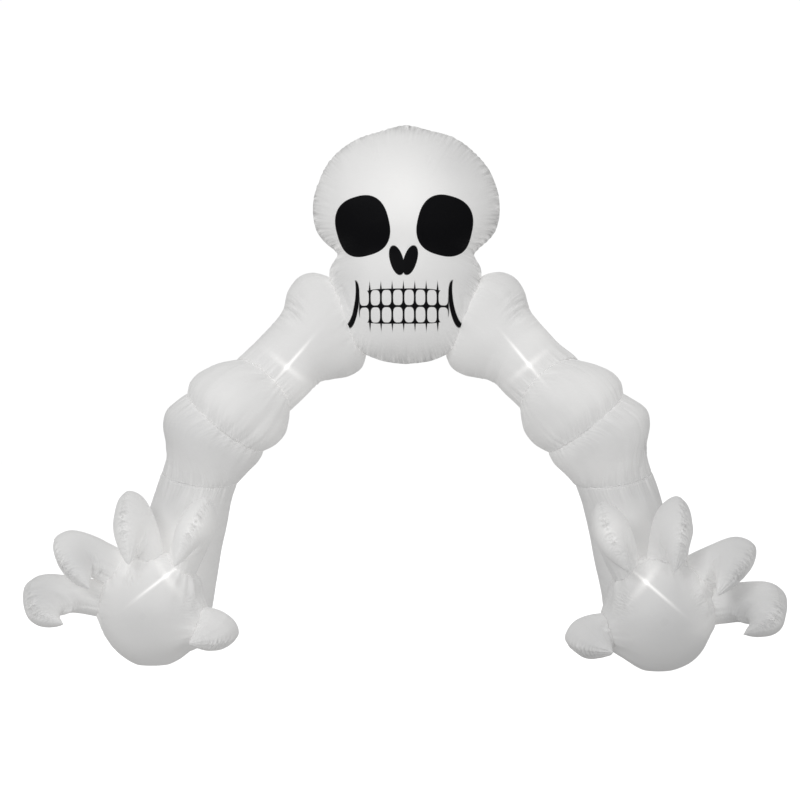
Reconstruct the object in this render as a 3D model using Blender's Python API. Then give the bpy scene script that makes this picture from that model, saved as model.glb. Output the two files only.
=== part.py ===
"""Inflatable arch: a skull carried on two bone arms, with a big clawed hand in front of each foot.

Metres, +Z up. The arch faces -Y, and its origin is the middle of its footprint on the ground.
Every sewn bag of the arch is its own closed solid in its blown-up shape. Bags that share a seam
end on one common ring, and bags that are sewn on sideways are trimmed to the bag that they meet.
"""

import math
from collections import namedtuple

import bmesh
import bpy
import numpy as np
from mathutils import Matrix, Vector

# ---------------------------------------------------------------- driving dimensions (metres)
SEAM_GAP = 0.0004  # clear space between two bags that are sewn together
ARM_SIDES = 24  # points round an arm bag
FINGER_SIDES = 16  # points round a finger bag
SKULL_SIDES = 36  # points round the skull
PALM_RINGS = 14  # bands of a palm ball from its bottom to its top
ROWS_BETWEEN = 2  # rings made for each row of an arm's or a finger's table
SKULL_ROWS_BETWEEN = 1
SKULL_SQUARENESS = 2.3  # superellipse power of the skull's level sections
FINGER_FULLNESS = 1.7  # the same across a finger's sections, which are pointed at their two seams
CREASE_DEPTH = 0.85  # where a bent finger's inside creases, as a share of the way to where its two halves would meet
POLE_RISE = 0.004  # the skull's top and bottom points stand this far past its end levels

SIDES = {"left": -1, "right": 1}

# Colour and roughness of the white ripstop on each kind of bag.
Finish = namedtuple("Finish", "colour roughness")
FINISHES = {
    "skull": Finish((0.88, 0.89, 0.90), 0.45),
    "arm": Finish((0.85, 0.86, 0.88), 0.45),
    "hand": Finish((0.84, 0.85, 0.87), 0.48),
}

# ---------------------------------------------------------------- tables
# The skull, level by level from the chin up: half its width, and where its front and back lie.
Level = namedtuple("Level", "height half_width front back")
SKULL = [
    Level(1.526, 0.060, 0.080, 0.190),
    Level(1.543, 0.141, 0.010, 0.250),
    Level(1.585, 0.240, -0.060, 0.310),
    Level(1.647, 0.302, -0.105, 0.350),
    Level(1.752, 0.354, -0.135, 0.385),
    Level(1.860, 0.378, -0.148, 0.410),
    Level(1.960, 0.391, -0.150, 0.428),
    Level(2.013, 0.391, -0.146, 0.435),
    Level(2.055, 0.371, -0.140, 0.445),
    Level(2.086, 0.356, -0.140, 0.455),
    Level(2.118, 0.373, -0.146, 0.470),
    Level(2.170, 0.428, -0.160, 0.492),
    Level(2.222, 0.466, -0.172, 0.512),
    Level(2.300, 0.487, -0.181, 0.526),
    Level(2.390, 0.484, -0.180, 0.527),
    Level(2.470, 0.459, -0.166, 0.512),
    Level(2.536, 0.430, -0.146, 0.490),
    Level(2.595, 0.388, -0.116, 0.460),
    Level(2.645, 0.332, -0.080, 0.422),
    Level(2.690, 0.252, -0.034, 0.370),
    Level(2.728, 0.150, 0.040, 0.290),
    Level(2.752, 0.065, 0.110, 0.215),
]

# One arm seen from the front, from the shoulder down to the foot: the outer and the inner edge
# of each section, the depth of its middle, half its front-to-back size, and by how many degrees
# its front leans towards the foot. Left is -X.
Section = namedtuple("Section", "bag outer_x outer_z inner_x inner_z depth half_depth lean")
ARM = [
    Section("upper_arm", -0.335, 1.905, -0.232, 1.690, 0.170, 0.110, 0),
    Section("upper_arm", -0.395, 1.972, -0.213, 1.632, 0.170, 0.165, 0),
    Section("upper_arm", -0.485, 2.000, -0.212, 1.565, 0.166, 0.200, 0),
    Section("upper_arm", -0.560, 1.975, -0.236, 1.503, 0.158, 0.212, 0),
    Section("upper_arm", -0.614, 1.900, -0.300, 1.463, 0.146, 0.212, 0),
    Section("upper_arm", -0.638, 1.808, -0.378, 1.447, 0.128, 0.203, 0),
    Section("upper_arm", -0.686, 1.738, -0.448, 1.427, 0.110, 0.192, 0),
    Section("upper_arm", -0.780, 1.632, -0.517, 1.360, 0.086, 0.190, -6),
    Section("seam", -0.882, 1.533, -0.598, 1.281, 0.066, 0.188, -11),
    Section("elbow_upper", -0.978, 1.508, -0.598, 1.228, 0.048, 0.222, -6),
    Section("elbow_upper", -1.052, 1.474, -0.612, 1.165, 0.036, 0.246, 0),
    Section("elbow_upper", -1.098, 1.425, -0.660, 1.106, 0.030, 0.242, 4),
    Section("seam", -1.110, 1.370, -0.733, 1.067, 0.030, 0.214, 8),
    Section("elbow_lower", -1.168, 1.330, -0.744, 1.038, 0.031, 0.232, 5),
    Section("elbow_lower", -1.228, 1.279, -0.766, 1.004, 0.034, 0.240, 1),
    Section("elbow_lower", -1.242, 1.208, -0.797, 0.973, 0.041, 0.234, 0),
    Section("elbow_lower", -1.227, 1.120, -0.826, 0.946, 0.051, 0.216, 0),
    Section("elbow_lower", -1.233, 1.046, -0.850, 0.924, 0.065, 0.204, -1),
    Section("seam", -1.260, 0.968, -0.871, 0.905, 0.082, 0.196, -3),
    Section("forearm", -1.316, 0.810, -0.909, 0.795, 0.118, 0.204, -1),
    Section("forearm", -1.387, 0.580, -0.957, 0.580, 0.175, 0.212, 0),
    Section("forearm", -1.455, 0.342, -1.010, 0.342, 0.236, 0.216, 0),
    Section("forearm", -1.490, 0.150, -1.042, 0.150, 0.280, 0.212, 0),
    Section("forearm", -1.492, 0.080, -1.056, 0.080, 0.292, 0.206, 0),
    Section("forearm", -1.470, 0.030, -1.105, 0.030, 0.300, 0.182, 0),
    Section("forearm", -1.428, 0.006, -1.158, 0.006, 0.304, 0.140, 0),
    Section("forearm", -1.385, 0.000, -1.205, 0.000, 0.304, 0.095, 0),
]
ARM_BAGS = ("upper_arm", "elbow_upper", "elbow_lower", "forearm")

# The middle of each palm ball and its half sizes. The right hand stands a little further forward.
Palm = namedtuple("Palm", "x y z half_width half_depth half_height")
PALMS = {
    "left": Palm(-1.266, -0.135, 0.265, 0.266, 0.262, 0.277),
    "right": Palm(1.258, -0.220, 0.263, 0.264, 0.280, 0.276),
}

# Each finger bag: where it leaves the palm, the middle of its bent knuckle and its claw's point,
# from the palm's middle (x towards the arch's middle, y backwards, z up), and how far the claw's
# middle bows aside. Then its half breadth, what share of that is left at the palm, and its half
# thickness.
Finger = namedtuple("Finger", "name base knuckle tip bow half_breadth palm_share half_thickness")
LEFT_FINGERS = [
    Finger("thumb", (0.18, -0.01, -0.05), (0.342, -0.06, -0.088), (0.232, -0.285, -0.128), (0.005, 0, -0.008), 0.099, 0.92, 0.096),
    Finger("finger_1", (-0.18, 0.02, 0.045), (-0.54, -0.03, 0.107), (-0.39, -0.25, -0.04), (-0.042, 0, -0.052), 0.092, 1.0, 0.094),
    Finger("finger_2", (-0.15, 0.0, 0.196), (-0.402, -0.04, 0.324), (-0.262, -0.25, 0.13), (-0.014, 0, -0.008), 0.101, 0.98, 0.09),
    Finger("finger_3", (-0.014, 0.0, 0.17), (-0.09, -0.06, 0.508), (-0.066, -0.27, 0.252), (-0.012, 0, 0), 0.1, 0.96, 0.094),
    Finger("finger_4", (0.122, -0.01, 0.15), (0.256, -0.07, 0.484), (0.16, -0.28, 0.244), (-0.012, 0, 0), 0.096, 0.72, 0.09),
]
RIGHT_FINGERS = [
    Finger("thumb", (0.19, -0.01, -0.07), (0.356, -0.06, -0.096), (0.242, -0.28, -0.146), (0.005, 0, -0.008), 0.104, 0.9, 0.096),
    Finger("finger_1", (-0.2, 0.02, 0.036), (-0.51, -0.03, 0.09), (-0.374, -0.25, -0.06), (-0.046, 0, -0.046), 0.096, 1.0, 0.094),
    Finger("finger_2", (-0.16, 0.0, 0.19), (-0.376, -0.04, 0.304), (-0.252, -0.25, 0.124), (-0.008, 0, 0.008), 0.102, 0.98, 0.092),
    Finger("finger_3", (-0.026, 0.0, 0.17), (-0.068, -0.06, 0.492), (-0.05, -0.265, 0.232), (-0.018, 0, 0), 0.1, 0.98, 0.092),
    Finger("finger_4", (0.138, -0.01, 0.16), (0.25, -0.07, 0.474), (0.16, -0.275, 0.234), (0.032, 0, 0), 0.094, 0.66, 0.09),
]
FINGERS = {"left": LEFT_FINGERS, "right": RIGHT_FINGERS}

# The bent bag of a finger, section by section. The outer edge lies at a share of the stem, of the
# turn about the knuckle or of the claw, so many half thicknesses out. The inner edge lies at a
# share of the way from the palm to the crease, or on a claw section from the crease to the point.
FingerRow = namedtuple("FingerRow", "part share out inner breadth bow")
FINGER_ROWS = [
    FingerRow("stem", 0.00, 0.94, 0.00, 1.00, 0.00),
    FingerRow("stem", 0.45, 1.00, 0.45, 1.00, 0.00),
    FingerRow("stem", 0.85, 1.00, 0.80, 1.00, 0.00),
    FingerRow("turn", 0.28, 1.01, 0.88, 0.99, 0.10),
    FingerRow("turn", 0.56, 1.04, 0.93, 0.95, 0.20),
    FingerRow("turn", 0.82, 1.06, 0.96, 0.88, 0.32),
    FingerRow("claw", 0.14, 1.05, 0.02, 0.80, 0.66),
    FingerRow("claw", 0.38, 0.96, 0.14, 0.66, 0.95),
    FingerRow("claw", 0.62, 0.74, 0.44, 0.49, 0.76),
    FingerRow("claw", 0.82, 0.42, 0.75, 0.28, 0.36),
    FingerRow("claw", 0.95, 0.14, 0.94, 0.10, 0.10),
]


# ---------------------------------------------------------------- scene housekeeping
def clear_scene():
    for old in list(bpy.data.objects):
        bpy.data.objects.remove(old, do_unlink=True)


def new_collection(name):
    made = bpy.data.collections.new(name)
    bpy.context.scene.collection.children.link(made)
    return made


def cloth_material(name, finish):
    made = bpy.data.materials.new(name)
    made.use_nodes = True
    shader = made.node_tree.nodes["Principled BSDF"]
    shader.inputs["Base Color"].default_value = (*finish.colour, 1.0)
    shader.inputs["Roughness"].default_value = finish.roughness
    shader.inputs["Metallic"].default_value = 0.0
    return made


def bag_object(name, mesh, finish, arch):
    """Places a bag under the arch's empty, with its origin at the middle of its own box."""
    points = np.array([vertex.co for vertex in mesh.vertices])
    middle = Vector((points.min(axis=0) + points.max(axis=0)) / 2)
    mesh.transform(Matrix.Translation(-middle))
    mesh.shade_smooth()
    mesh.set_sharp_from_angle(angle=math.radians(50))
    mesh.materials.append(cloth_material(name + "_cloth", FINISHES[finish]))
    made = bpy.data.objects.new(name, mesh)
    made.location = middle
    made.parent = arch
    arch.users_collection[0].objects.link(made)
    return made


def grown_copy(bag, cutters):
    """A cutter: the bag's own shape, swollen by the seam gap."""
    mesh = bag.data.copy()
    for vertex in mesh.vertices:
        vertex.co += vertex.normal * SEAM_GAP
    made = bpy.data.objects.new(bag.name + "_cutter", mesh)
    made.location = bag.location
    cutters.objects.link(made)
    made.hide_render = True
    made.display_type = "WIRE"
    return made


def trim(bag, cutter):
    """Takes away what of a bag lies inside its neighbour, so that it ends on the neighbour's cloth."""
    cut = bag.modifiers.new("trim_" + cutter.name, "BOOLEAN")
    cut.operation = "DIFFERENCE"
    cut.solver = "EXACT"
    cut.object = cutter


# ---------------------------------------------------------------- shapes
def smooth_rows(rows, steps):
    """Catmull-Rom through the rows of an array, with steps rings for each gap between two rows."""
    rows = np.asarray(rows, float)
    before = np.vstack([2 * rows[0] - rows[1], rows[:-1]])
    after = np.vstack([rows[1:], 2 * rows[-1] - rows[-2]])
    made = []
    for k in range(len(rows) - 1):
        for step in range(steps):
            t = step / steps
            p0, p1, p2, p3 = before[k], rows[k], rows[k + 1], after[k + 1]
            made.append(
                0.5
                * (
                    2 * p1
                    + (p2 - p0) * t
                    + (2 * p0 - 5 * p1 + 4 * p2 - p3) * t**2
                    + (3 * p1 - p0 - 3 * p2 + p3) * t**3
                )
            )
    made.append(rows[-1])
    return np.array(made)


def superellipse(sides, power, depth_power=None):
    """Points with |across| ** power + |depth| ** depth_power = 1, as (across, depth) pairs."""
    angle = np.arange(sides) * 2 * math.pi / sides
    c, s = np.cos(angle), np.sin(angle)
    depth_power = depth_power or power
    return np.stack([np.sign(c) * abs(c) ** (2 / power), np.sign(s) * abs(s) ** (2 / depth_power)], axis=1)


def lofted_mesh(name, rings, start_pole=None, end_pole=None):
    """A closed bag through rings of equal counts. A pole closes an end in a dome, else a flat cap does."""
    mesh = bpy.data.meshes.new(name)
    shape = bmesh.new()
    loops = [[shape.verts.new(point) for point in ring] for ring in rings]
    sides = len(loops[0])
    for low, high in zip(loops, loops[1:]):
        for k in range(sides):
            shape.faces.new((low[k - 1], low[k], high[k], high[k - 1]))
    for loop, pole in ((loops[0], start_pole), (loops[-1], end_pole)):
        if pole is None:
            shape.faces.new(loop)
            continue
        tip = shape.verts.new(pole)
        for k in range(sides):
            shape.faces.new((loop[k - 1], loop[k], tip))
    bmesh.ops.recalc_face_normals(shape, faces=shape.faces)
    shape.to_mesh(mesh)
    shape.free()
    return mesh


# ---------------------------------------------------------------- the skull
def make_skull(arch):
    levels = smooth_rows(SKULL, SKULL_ROWS_BETWEEN)
    outline = superellipse(SKULL_SIDES, SKULL_SQUARENESS)
    rings = []
    for height, half_width, front, back in levels:
        x = outline[:, 0] * half_width
        y = (front + back) / 2 + outline[:, 1] * (back - front) / 2
        rings.append(np.stack([x, y, np.full_like(x, height)], axis=1))
    chin = rings[0].mean(axis=0) - (0, 0, POLE_RISE)
    crown = rings[-1].mean(axis=0) + (0, 0, POLE_RISE)
    return bag_object("skull", lofted_mesh("skull", rings, chin, crown), "skull", arch)


# ---------------------------------------------------------------- the arms
def arm_frames(side):
    """For each row of the arm's table: its middle, its half vector outwards and its half vector forwards."""
    sign = -SIDES[side]
    outer = np.array([(row.outer_x * sign, row.depth, row.outer_z) for row in ARM])
    inner = np.array([(row.inner_x * sign, row.depth, row.inner_z) for row in ARM])
    middle, across = (outer + inner) / 2, (outer - inner) / 2
    along = np.gradient(middle, axis=0)
    forward = np.cross(along, across)
    forward *= np.sign(-forward[:, 1:2])
    forward /= np.linalg.norm(forward, axis=1)[:, None]
    forward += along / np.linalg.norm(along, axis=1)[:, None] * np.tan(np.radians([[row.lean] for row in ARM]))
    forward *= np.array([[row.half_depth] for row in ARM])
    forward[-4:, 2] = 0  # the foot stands flat
    return np.hstack([middle, across, forward])


def bag_rows(bag):
    """The first and the last row of one arm bag, with the seam row that it shares at an end."""
    own = [k for k, row in enumerate(ARM) if row.bag == bag]
    return max(own[0] - 1, 0), min(own[-1] + 1, len(ARM) - 1)


def make_arm_bag(side, bag, frames, arch):
    first, last = bag_rows(bag)
    rows = smooth_rows(frames[first : last + 1], ROWS_BETWEEN)
    middle, across, forward = rows[:, :3], rows[:, 3:6], rows[:, 6:9]
    for end, inside, row in ((0, 1, first), (-1, -2, last)):
        if ARM[row].bag == "seam":
            inwards = middle[inside] - middle[end]
            middle[end] += inwards / np.linalg.norm(inwards) * SEAM_GAP / 2
    circle = superellipse(ARM_SIDES, 2)
    rings = [m + np.outer(circle[:, 0], a) + np.outer(circle[:, 1], f) for m, a, f in zip(middle, across, forward)]
    inner_end = middle[0] + (middle[0] - middle[1]) / 2 if bag == "upper_arm" else None
    name = f"{bag}_{side}"
    return bag_object(name, lofted_mesh(name, rings, start_pole=inner_end), "arm", arch)


# ---------------------------------------------------------------- the hands
def make_palm(side, arch):
    """A ball bag with a small flat spot where it rests on the ground."""
    name = f"palm_{side}"
    palm = PALMS[side]
    mesh = bpy.data.meshes.new(name)
    shape = bmesh.new()
    bmesh.ops.create_uvsphere(shape, u_segments=ARM_SIDES, v_segments=PALM_RINGS, radius=1)
    for vertex in shape.verts:
        vertex.co.x = palm.x + vertex.co.x * palm.half_width
        vertex.co.y = palm.y + vertex.co.y * palm.half_depth
        vertex.co.z = max(palm.z + vertex.co.z * palm.half_height, 0)
    shape.to_mesh(mesh)
    shape.free()
    return bag_object(name, mesh, "hand", arch)


def finger_edges(finger, length, tip):
    """Outer edge, inner edge, half breadth and share of the bow of each finger section, in the finger's own plane.

    The plane's first axis runs from the base to the knuckle, the second to where the claw bends.
    """
    thick = finger.half_thickness
    along, bend = np.array([1.0, 0.0]), np.array([0.0, 1.0])
    knuckle = along * length
    claw_length = np.linalg.norm(tip - knuckle)
    claw = (tip - knuckle) / claw_length
    out_of_claw = np.array([claw[1], -claw[0]])
    turn = math.atan2(out_of_claw[0], -out_of_claw[1])
    crease = knuckle + (bend - out_of_claw) * thick / (1 - bend @ out_of_claw)
    pocket = knuckle + (crease - knuckle) * CREASE_DEPTH
    palm_edge = bend * thick
    outer, inner, breadth, bow = [], [], [], []
    for row in FINGER_ROWS:
        share = 1.0
        if row.part == "stem":
            outer.append(knuckle * row.share - bend * thick * row.out)
            share -= (1.0 - finger.palm_share) * (1.0 - row.share)
        elif row.part == "turn":
            angle = turn * row.share
            outer.append(knuckle + thick * row.out * (along * math.sin(angle) - bend * math.cos(angle)))
        else:
            outer.append(knuckle + claw * claw_length * row.share + out_of_claw * thick * row.out)
        if row.part == "claw":
            inner.append(pocket + (tip - pocket) * row.inner)
        else:
            inner.append(palm_edge + (crease - palm_edge) * row.inner)
        breadth.append([finger.half_breadth * row.breadth * share])
        bow.append([row.bow])
    return np.hstack([outer, inner, breadth, bow])


def make_finger(side, finger, arch):
    """One bag from the palm to the claw's point, folded at the knuckle towards the front."""
    palm = PALMS[side]
    middle = np.array([palm.x, palm.y, palm.z])
    turned = np.array([-SIDES[side], 1, 1])
    base, knuckle, tip = (middle + np.array(p) * turned for p in (finger.base, finger.knuckle, finger.tip))
    length = np.linalg.norm(knuckle - base)
    along = (knuckle - base) / length
    bend = (tip - base) - np.dot(tip - base, along) * along
    bend_reach = np.linalg.norm(bend)
    bend /= bend_reach
    wide = np.cross(along, bend)
    flat_tip = np.array([np.dot(tip - base, along), bend_reach])
    outline = superellipse(FINGER_SIDES, 2, FINGER_FULLNESS)
    bow = np.array(finger.bow) * turned
    rings = []
    for row in smooth_rows(finger_edges(finger, length, flat_tip), ROWS_BETWEEN):
        outside = base + along * row[0] + bend * row[1] + bow * row[5]
        inside = base + along * row[2] + bend * row[3] + bow * row[5]
        centre, half = (outside + inside) / 2, (outside - inside) / 2
        rings.append(centre + np.outer(outline[:, 0], half) + np.outer(outline[:, 1], wide * row[4]))
    name = f"{finger.name}_{side}"
    return bag_object(name, lofted_mesh(name, rings, end_pole=tip), "hand", arch)


# ---------------------------------------------------------------- the whole arch
def main():
    clear_scene()
    parts = new_collection("inflatable_arch")
    cutters = new_collection("cutters")
    arch = bpy.data.objects.new("arch", None)
    parts.objects.link(arch)

    skull_cutter = grown_copy(make_skull(arch), cutters)
    for side in SIDES:
        frames = arm_frames(side)
        bags = {bag: make_arm_bag(side, bag, frames, arch) for bag in ARM_BAGS}
        trim(bags["upper_arm"], skull_cutter)
        palm = make_palm(side, arch)
        palm_cutter = grown_copy(palm, cutters)
        trim(palm, grown_copy(bags["forearm"], cutters))
        neighbour = None
        for finger in FINGERS[side]:
            made = make_finger(side, finger, arch)
            if neighbour is not None:
                trim(made, neighbour)
            trim(made, palm_cutter)
            neighbour = grown_copy(made, cutters)


main()
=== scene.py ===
"""Inflatable arch: gathered cloth, sewn seams, a printed skull face, the painted glow of lamps behind the
cloth and other painted light and shade, studio.

Metres, +Z up, the front towards -Y. Every bag is one closed surface over two parameters, rings
along the bag and points round each ring, in the blown-up shape of the bag's solid. The cloth then
rises and sinks along its normal: it gathers in folds square to its seams, sinks into the seams
and keeps a few creases.
"""

import math
from collections import namedtuple

import bpy
import numpy as np
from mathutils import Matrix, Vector


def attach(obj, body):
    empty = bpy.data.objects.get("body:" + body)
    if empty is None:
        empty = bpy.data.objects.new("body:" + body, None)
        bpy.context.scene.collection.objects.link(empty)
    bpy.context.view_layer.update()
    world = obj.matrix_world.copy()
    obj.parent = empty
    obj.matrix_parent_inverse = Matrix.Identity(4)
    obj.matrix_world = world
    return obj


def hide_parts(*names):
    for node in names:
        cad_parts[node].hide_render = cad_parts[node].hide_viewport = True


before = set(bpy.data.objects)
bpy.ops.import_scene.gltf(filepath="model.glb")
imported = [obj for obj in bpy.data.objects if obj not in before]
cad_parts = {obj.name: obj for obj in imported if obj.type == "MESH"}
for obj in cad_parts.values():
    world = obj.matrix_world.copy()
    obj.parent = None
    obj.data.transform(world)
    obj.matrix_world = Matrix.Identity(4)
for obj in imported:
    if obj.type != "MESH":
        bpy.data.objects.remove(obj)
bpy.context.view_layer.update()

# ---------------------------------------------------------------- camera
PHOTO_SIDE = 800  # pixels
FOCAL_PIXELS = 1660.0
SENSOR = 36.0  # millimetres
CAMERA_DISTANCE = 8.5
CAMERA_TURN = math.radians(2.5)
CAMERA_HEIGHT = 1.137
TURNED_ABOUT = 0.03  # depth of the point that the camera is turned about
AIM_RIGHT, AIM_UP = 5, 38  # pixels that the aim lies off the arch's middle and the horizon


def add_camera():
    """Looks at the arch from the front, level with its elbows, and a little from its right."""
    turn = CAMERA_TURN + math.atan2(AIM_RIGHT, FOCAL_PIXELS)
    rise = math.atan2(AIM_UP, FOCAL_PIXELS)
    lens = bpy.data.cameras.new("camera")
    lens.sensor_width = SENSOR
    lens.lens = FOCAL_PIXELS / PHOTO_SIDE * SENSOR
    camera = bpy.data.objects.new("camera", lens)
    camera.location = (
        CAMERA_DISTANCE * math.sin(CAMERA_TURN),
        TURNED_ABOUT - CAMERA_DISTANCE * math.cos(CAMERA_TURN),
        CAMERA_HEIGHT,
    )
    aim = Vector((-math.sin(turn) * math.cos(rise), math.cos(turn) * math.cos(rise), math.sin(rise)))
    camera.rotation_euler = aim.to_track_quat("-Z", "Y").to_euler()
    bpy.context.scene.collection.objects.link(camera)
    bpy.context.scene.camera = camera


add_camera()

# ---------------------------------------------------------------- sizes of the bags
SIDES = {"left": -1, "right": 1}
SKULL_SQUARENESS = 2.3  # superellipse power of the skull's level sections
FINGER_FULLNESS = 1.7  # the same across a finger's sections, which are pointed at their two seams
# Where a bent finger creases inside, as a share of the way from its knuckle to where the inner
# edges of its stem and its claw would meet.
CREASE_DEPTH = 0.85
POLE_RISE = 0.004  # the skull's top and bottom points stand this far past its end levels
GAP = 0.001  # between two bags' cloth
FAR = 9.0  # more than any length on the arch

# How finely the cloth is modelled: rays of the round bags, points round a ring, and the steps
# between the rings of an arm (at a seam, away from it, on the forearm) and of a finger.
SKULL_COLUMNS, SKULL_ROWS = 800, 111
PALM_COLUMNS, PALM_ROWS = 250, 91
ARM_SIDES, FINGER_SIDES = 240, 88
SEAM_STEP, ARM_STEP, FOREARM_STEP = 0.0045, 0.009, 0.013
CLAW_STEP, STEM_STEP = 0.0030, 0.0070

# The skull, level by level from the chin up: half its width, and where its front and back lie.
Level = namedtuple("Level", "height half_width front back")
SKULL = [
    Level(1.526, 0.060, 0.080, 0.190),
    Level(1.543, 0.141, 0.010, 0.250),
    Level(1.585, 0.240, -0.060, 0.310),
    Level(1.647, 0.302, -0.105, 0.350),
    Level(1.752, 0.354, -0.135, 0.385),
    Level(1.860, 0.378, -0.148, 0.410),
    Level(1.960, 0.391, -0.150, 0.428),
    Level(2.013, 0.391, -0.146, 0.435),
    Level(2.055, 0.371, -0.140, 0.445),
    Level(2.086, 0.356, -0.140, 0.455),
    Level(2.118, 0.373, -0.146, 0.470),
    Level(2.170, 0.428, -0.160, 0.492),
    Level(2.222, 0.466, -0.172, 0.512),
    Level(2.300, 0.487, -0.181, 0.526),
    Level(2.390, 0.484, -0.180, 0.527),
    Level(2.470, 0.459, -0.166, 0.512),
    Level(2.536, 0.430, -0.146, 0.490),
    Level(2.595, 0.388, -0.116, 0.460),
    Level(2.645, 0.332, -0.080, 0.422),
    Level(2.690, 0.252, -0.034, 0.370),
    Level(2.728, 0.150, 0.040, 0.290),
    Level(2.752, 0.065, 0.110, 0.215),
]
SKULL_MIDDLE = np.array([0.0, 0.155, 2.15])

# One arm seen from the front, from the shoulder down to the foot: the outer and the inner edge
# of each section, the depth of its middle, half its front-to-back size, and by how many degrees
# its front leans towards the foot. Left is -X.
Section = namedtuple("Section", "bag outer_x outer_z inner_x inner_z depth half_depth lean")
ARM = [
    Section("upper_arm", -0.335, 1.905, -0.232, 1.690, 0.170, 0.110, 0),
    Section("upper_arm", -0.395, 1.972, -0.213, 1.632, 0.170, 0.165, 0),
    Section("upper_arm", -0.485, 2.000, -0.212, 1.565, 0.166, 0.200, 0),
    Section("upper_arm", -0.560, 1.975, -0.236, 1.503, 0.158, 0.212, 0),
    Section("upper_arm", -0.614, 1.900, -0.300, 1.463, 0.146, 0.212, 0),
    Section("upper_arm", -0.638, 1.808, -0.378, 1.447, 0.128, 0.203, 0),
    Section("upper_arm", -0.686, 1.738, -0.448, 1.427, 0.110, 0.192, 0),
    Section("upper_arm", -0.780, 1.632, -0.517, 1.360, 0.086, 0.190, -6),
    Section("seam", -0.882, 1.533, -0.598, 1.281, 0.066, 0.188, -11),
    Section("elbow_upper", -0.978, 1.508, -0.598, 1.228, 0.048, 0.222, -6),
    Section("elbow_upper", -1.052, 1.474, -0.612, 1.165, 0.036, 0.246, 0),
    Section("elbow_upper", -1.098, 1.425, -0.660, 1.106, 0.030, 0.242, 4),
    Section("seam", -1.110, 1.370, -0.733, 1.067, 0.030, 0.214, 8),
    Section("elbow_lower", -1.168, 1.330, -0.744, 1.038, 0.031, 0.232, 5),
    Section("elbow_lower", -1.228, 1.279, -0.766, 1.004, 0.034, 0.240, 1),
    Section("elbow_lower", -1.242, 1.208, -0.797, 0.973, 0.041, 0.234, 0),
    Section("elbow_lower", -1.227, 1.120, -0.826, 0.946, 0.051, 0.216, 0),
    Section("elbow_lower", -1.233, 1.046, -0.850, 0.924, 0.065, 0.204, -1),
    Section("seam", -1.260, 0.968, -0.871, 0.905, 0.082, 0.196, -3),
    Section("forearm", -1.316, 0.810, -0.909, 0.795, 0.118, 0.204, -1),
    Section("forearm", -1.387, 0.580, -0.957, 0.580, 0.175, 0.212, 0),
    Section("forearm", -1.455, 0.342, -1.010, 0.342, 0.236, 0.216, 0),
    Section("forearm", -1.490, 0.150, -1.042, 0.150, 0.280, 0.212, 0),
    Section("forearm", -1.492, 0.080, -1.056, 0.080, 0.292, 0.206, 0),
    Section("forearm", -1.470, 0.030, -1.105, 0.030, 0.300, 0.182, 0),
    Section("forearm", -1.428, 0.006, -1.158, 0.006, 0.304, 0.140, 0),
    Section("forearm", -1.385, 0.000, -1.205, 0.000, 0.304, 0.095, 0),
]
ARM_BAGS = ("upper_arm", "elbow_upper", "elbow_lower", "forearm")

# The middle of each palm ball and its half sizes.
Palm = namedtuple("Palm", "x y z half_width half_depth half_height")
PALMS = {
    "left": Palm(-1.266, -0.135, 0.265, 0.266, 0.262, 0.277),
    "right": Palm(1.258, -0.220, 0.263, 0.264, 0.280, 0.276),
}

# Each finger bag: where it starts inside the palm, the middle of its bent knuckle and its claw's
# point, from the palm's middle (x towards the arch's middle, y backwards, z up), and how far the
# claw's middle bows aside. Then its half breadth, what share of that is left at the palm, and its
# half thickness. Last, by how many degrees its front seam is turned round it: towards the arch's
# middle on an upright finger, upwards on the first one and downwards on the thumb.
Finger = namedtuple("Finger", "name base knuckle tip bow half_breadth palm_share half_thickness seam_turn")
LEFT_FINGERS = [
    Finger("thumb", (0.18, -0.01, -0.05), (0.342, -0.06, -0.088), (0.232, -0.285, -0.128),
           (0.005, 0, -0.008), 0.099, 0.92, 0.096, 15),
    Finger("finger_1", (-0.18, 0.02, 0.045), (-0.54, -0.03, 0.107), (-0.39, -0.25, -0.04),
           (-0.042, 0, -0.052), 0.092, 1.0, 0.094, 42),
    Finger("finger_2", (-0.15, 0.0, 0.196), (-0.402, -0.04, 0.324), (-0.262, -0.25, 0.13),
           (-0.014, 0, -0.008), 0.101, 0.98, 0.09, 5),
    Finger("finger_3", (-0.014, 0.0, 0.17), (-0.09, -0.06, 0.508), (-0.066, -0.27, 0.252),
           (-0.012, 0, 0), 0.1, 0.96, 0.094, 0),
    Finger("finger_4", (0.122, -0.01, 0.15), (0.256, -0.07, 0.484), (0.16, -0.28, 0.244),
           (-0.012, 0, 0), 0.096, 0.72, 0.09, 15),
]
RIGHT_FINGERS = [
    Finger("thumb", (0.19, -0.01, -0.07), (0.356, -0.06, -0.096), (0.242, -0.28, -0.146),
           (0.005, 0, -0.008), 0.104, 0.9, 0.096, 15),
    Finger("finger_1", (-0.2, 0.02, 0.036), (-0.51, -0.03, 0.09), (-0.374, -0.25, -0.06),
           (-0.046, 0, -0.046), 0.096, 1.0, 0.094, 42),
    Finger("finger_2", (-0.16, 0.0, 0.19), (-0.376, -0.04, 0.304), (-0.252, -0.25, 0.124),
           (-0.008, 0, 0.008), 0.102, 0.98, 0.092, 8),
    Finger("finger_3", (-0.026, 0.0, 0.17), (-0.068, -0.06, 0.492), (-0.05, -0.265, 0.232),
           (-0.018, 0, 0), 0.1, 0.98, 0.092, -20),
    Finger("finger_4", (0.138, -0.01, 0.16), (0.25, -0.07, 0.474), (0.16, -0.275, 0.234),
           (0.032, 0, 0), 0.094, 0.66, 0.09, 0),
]
FINGERS = {"left": LEFT_FINGERS, "right": RIGHT_FINGERS}

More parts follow.
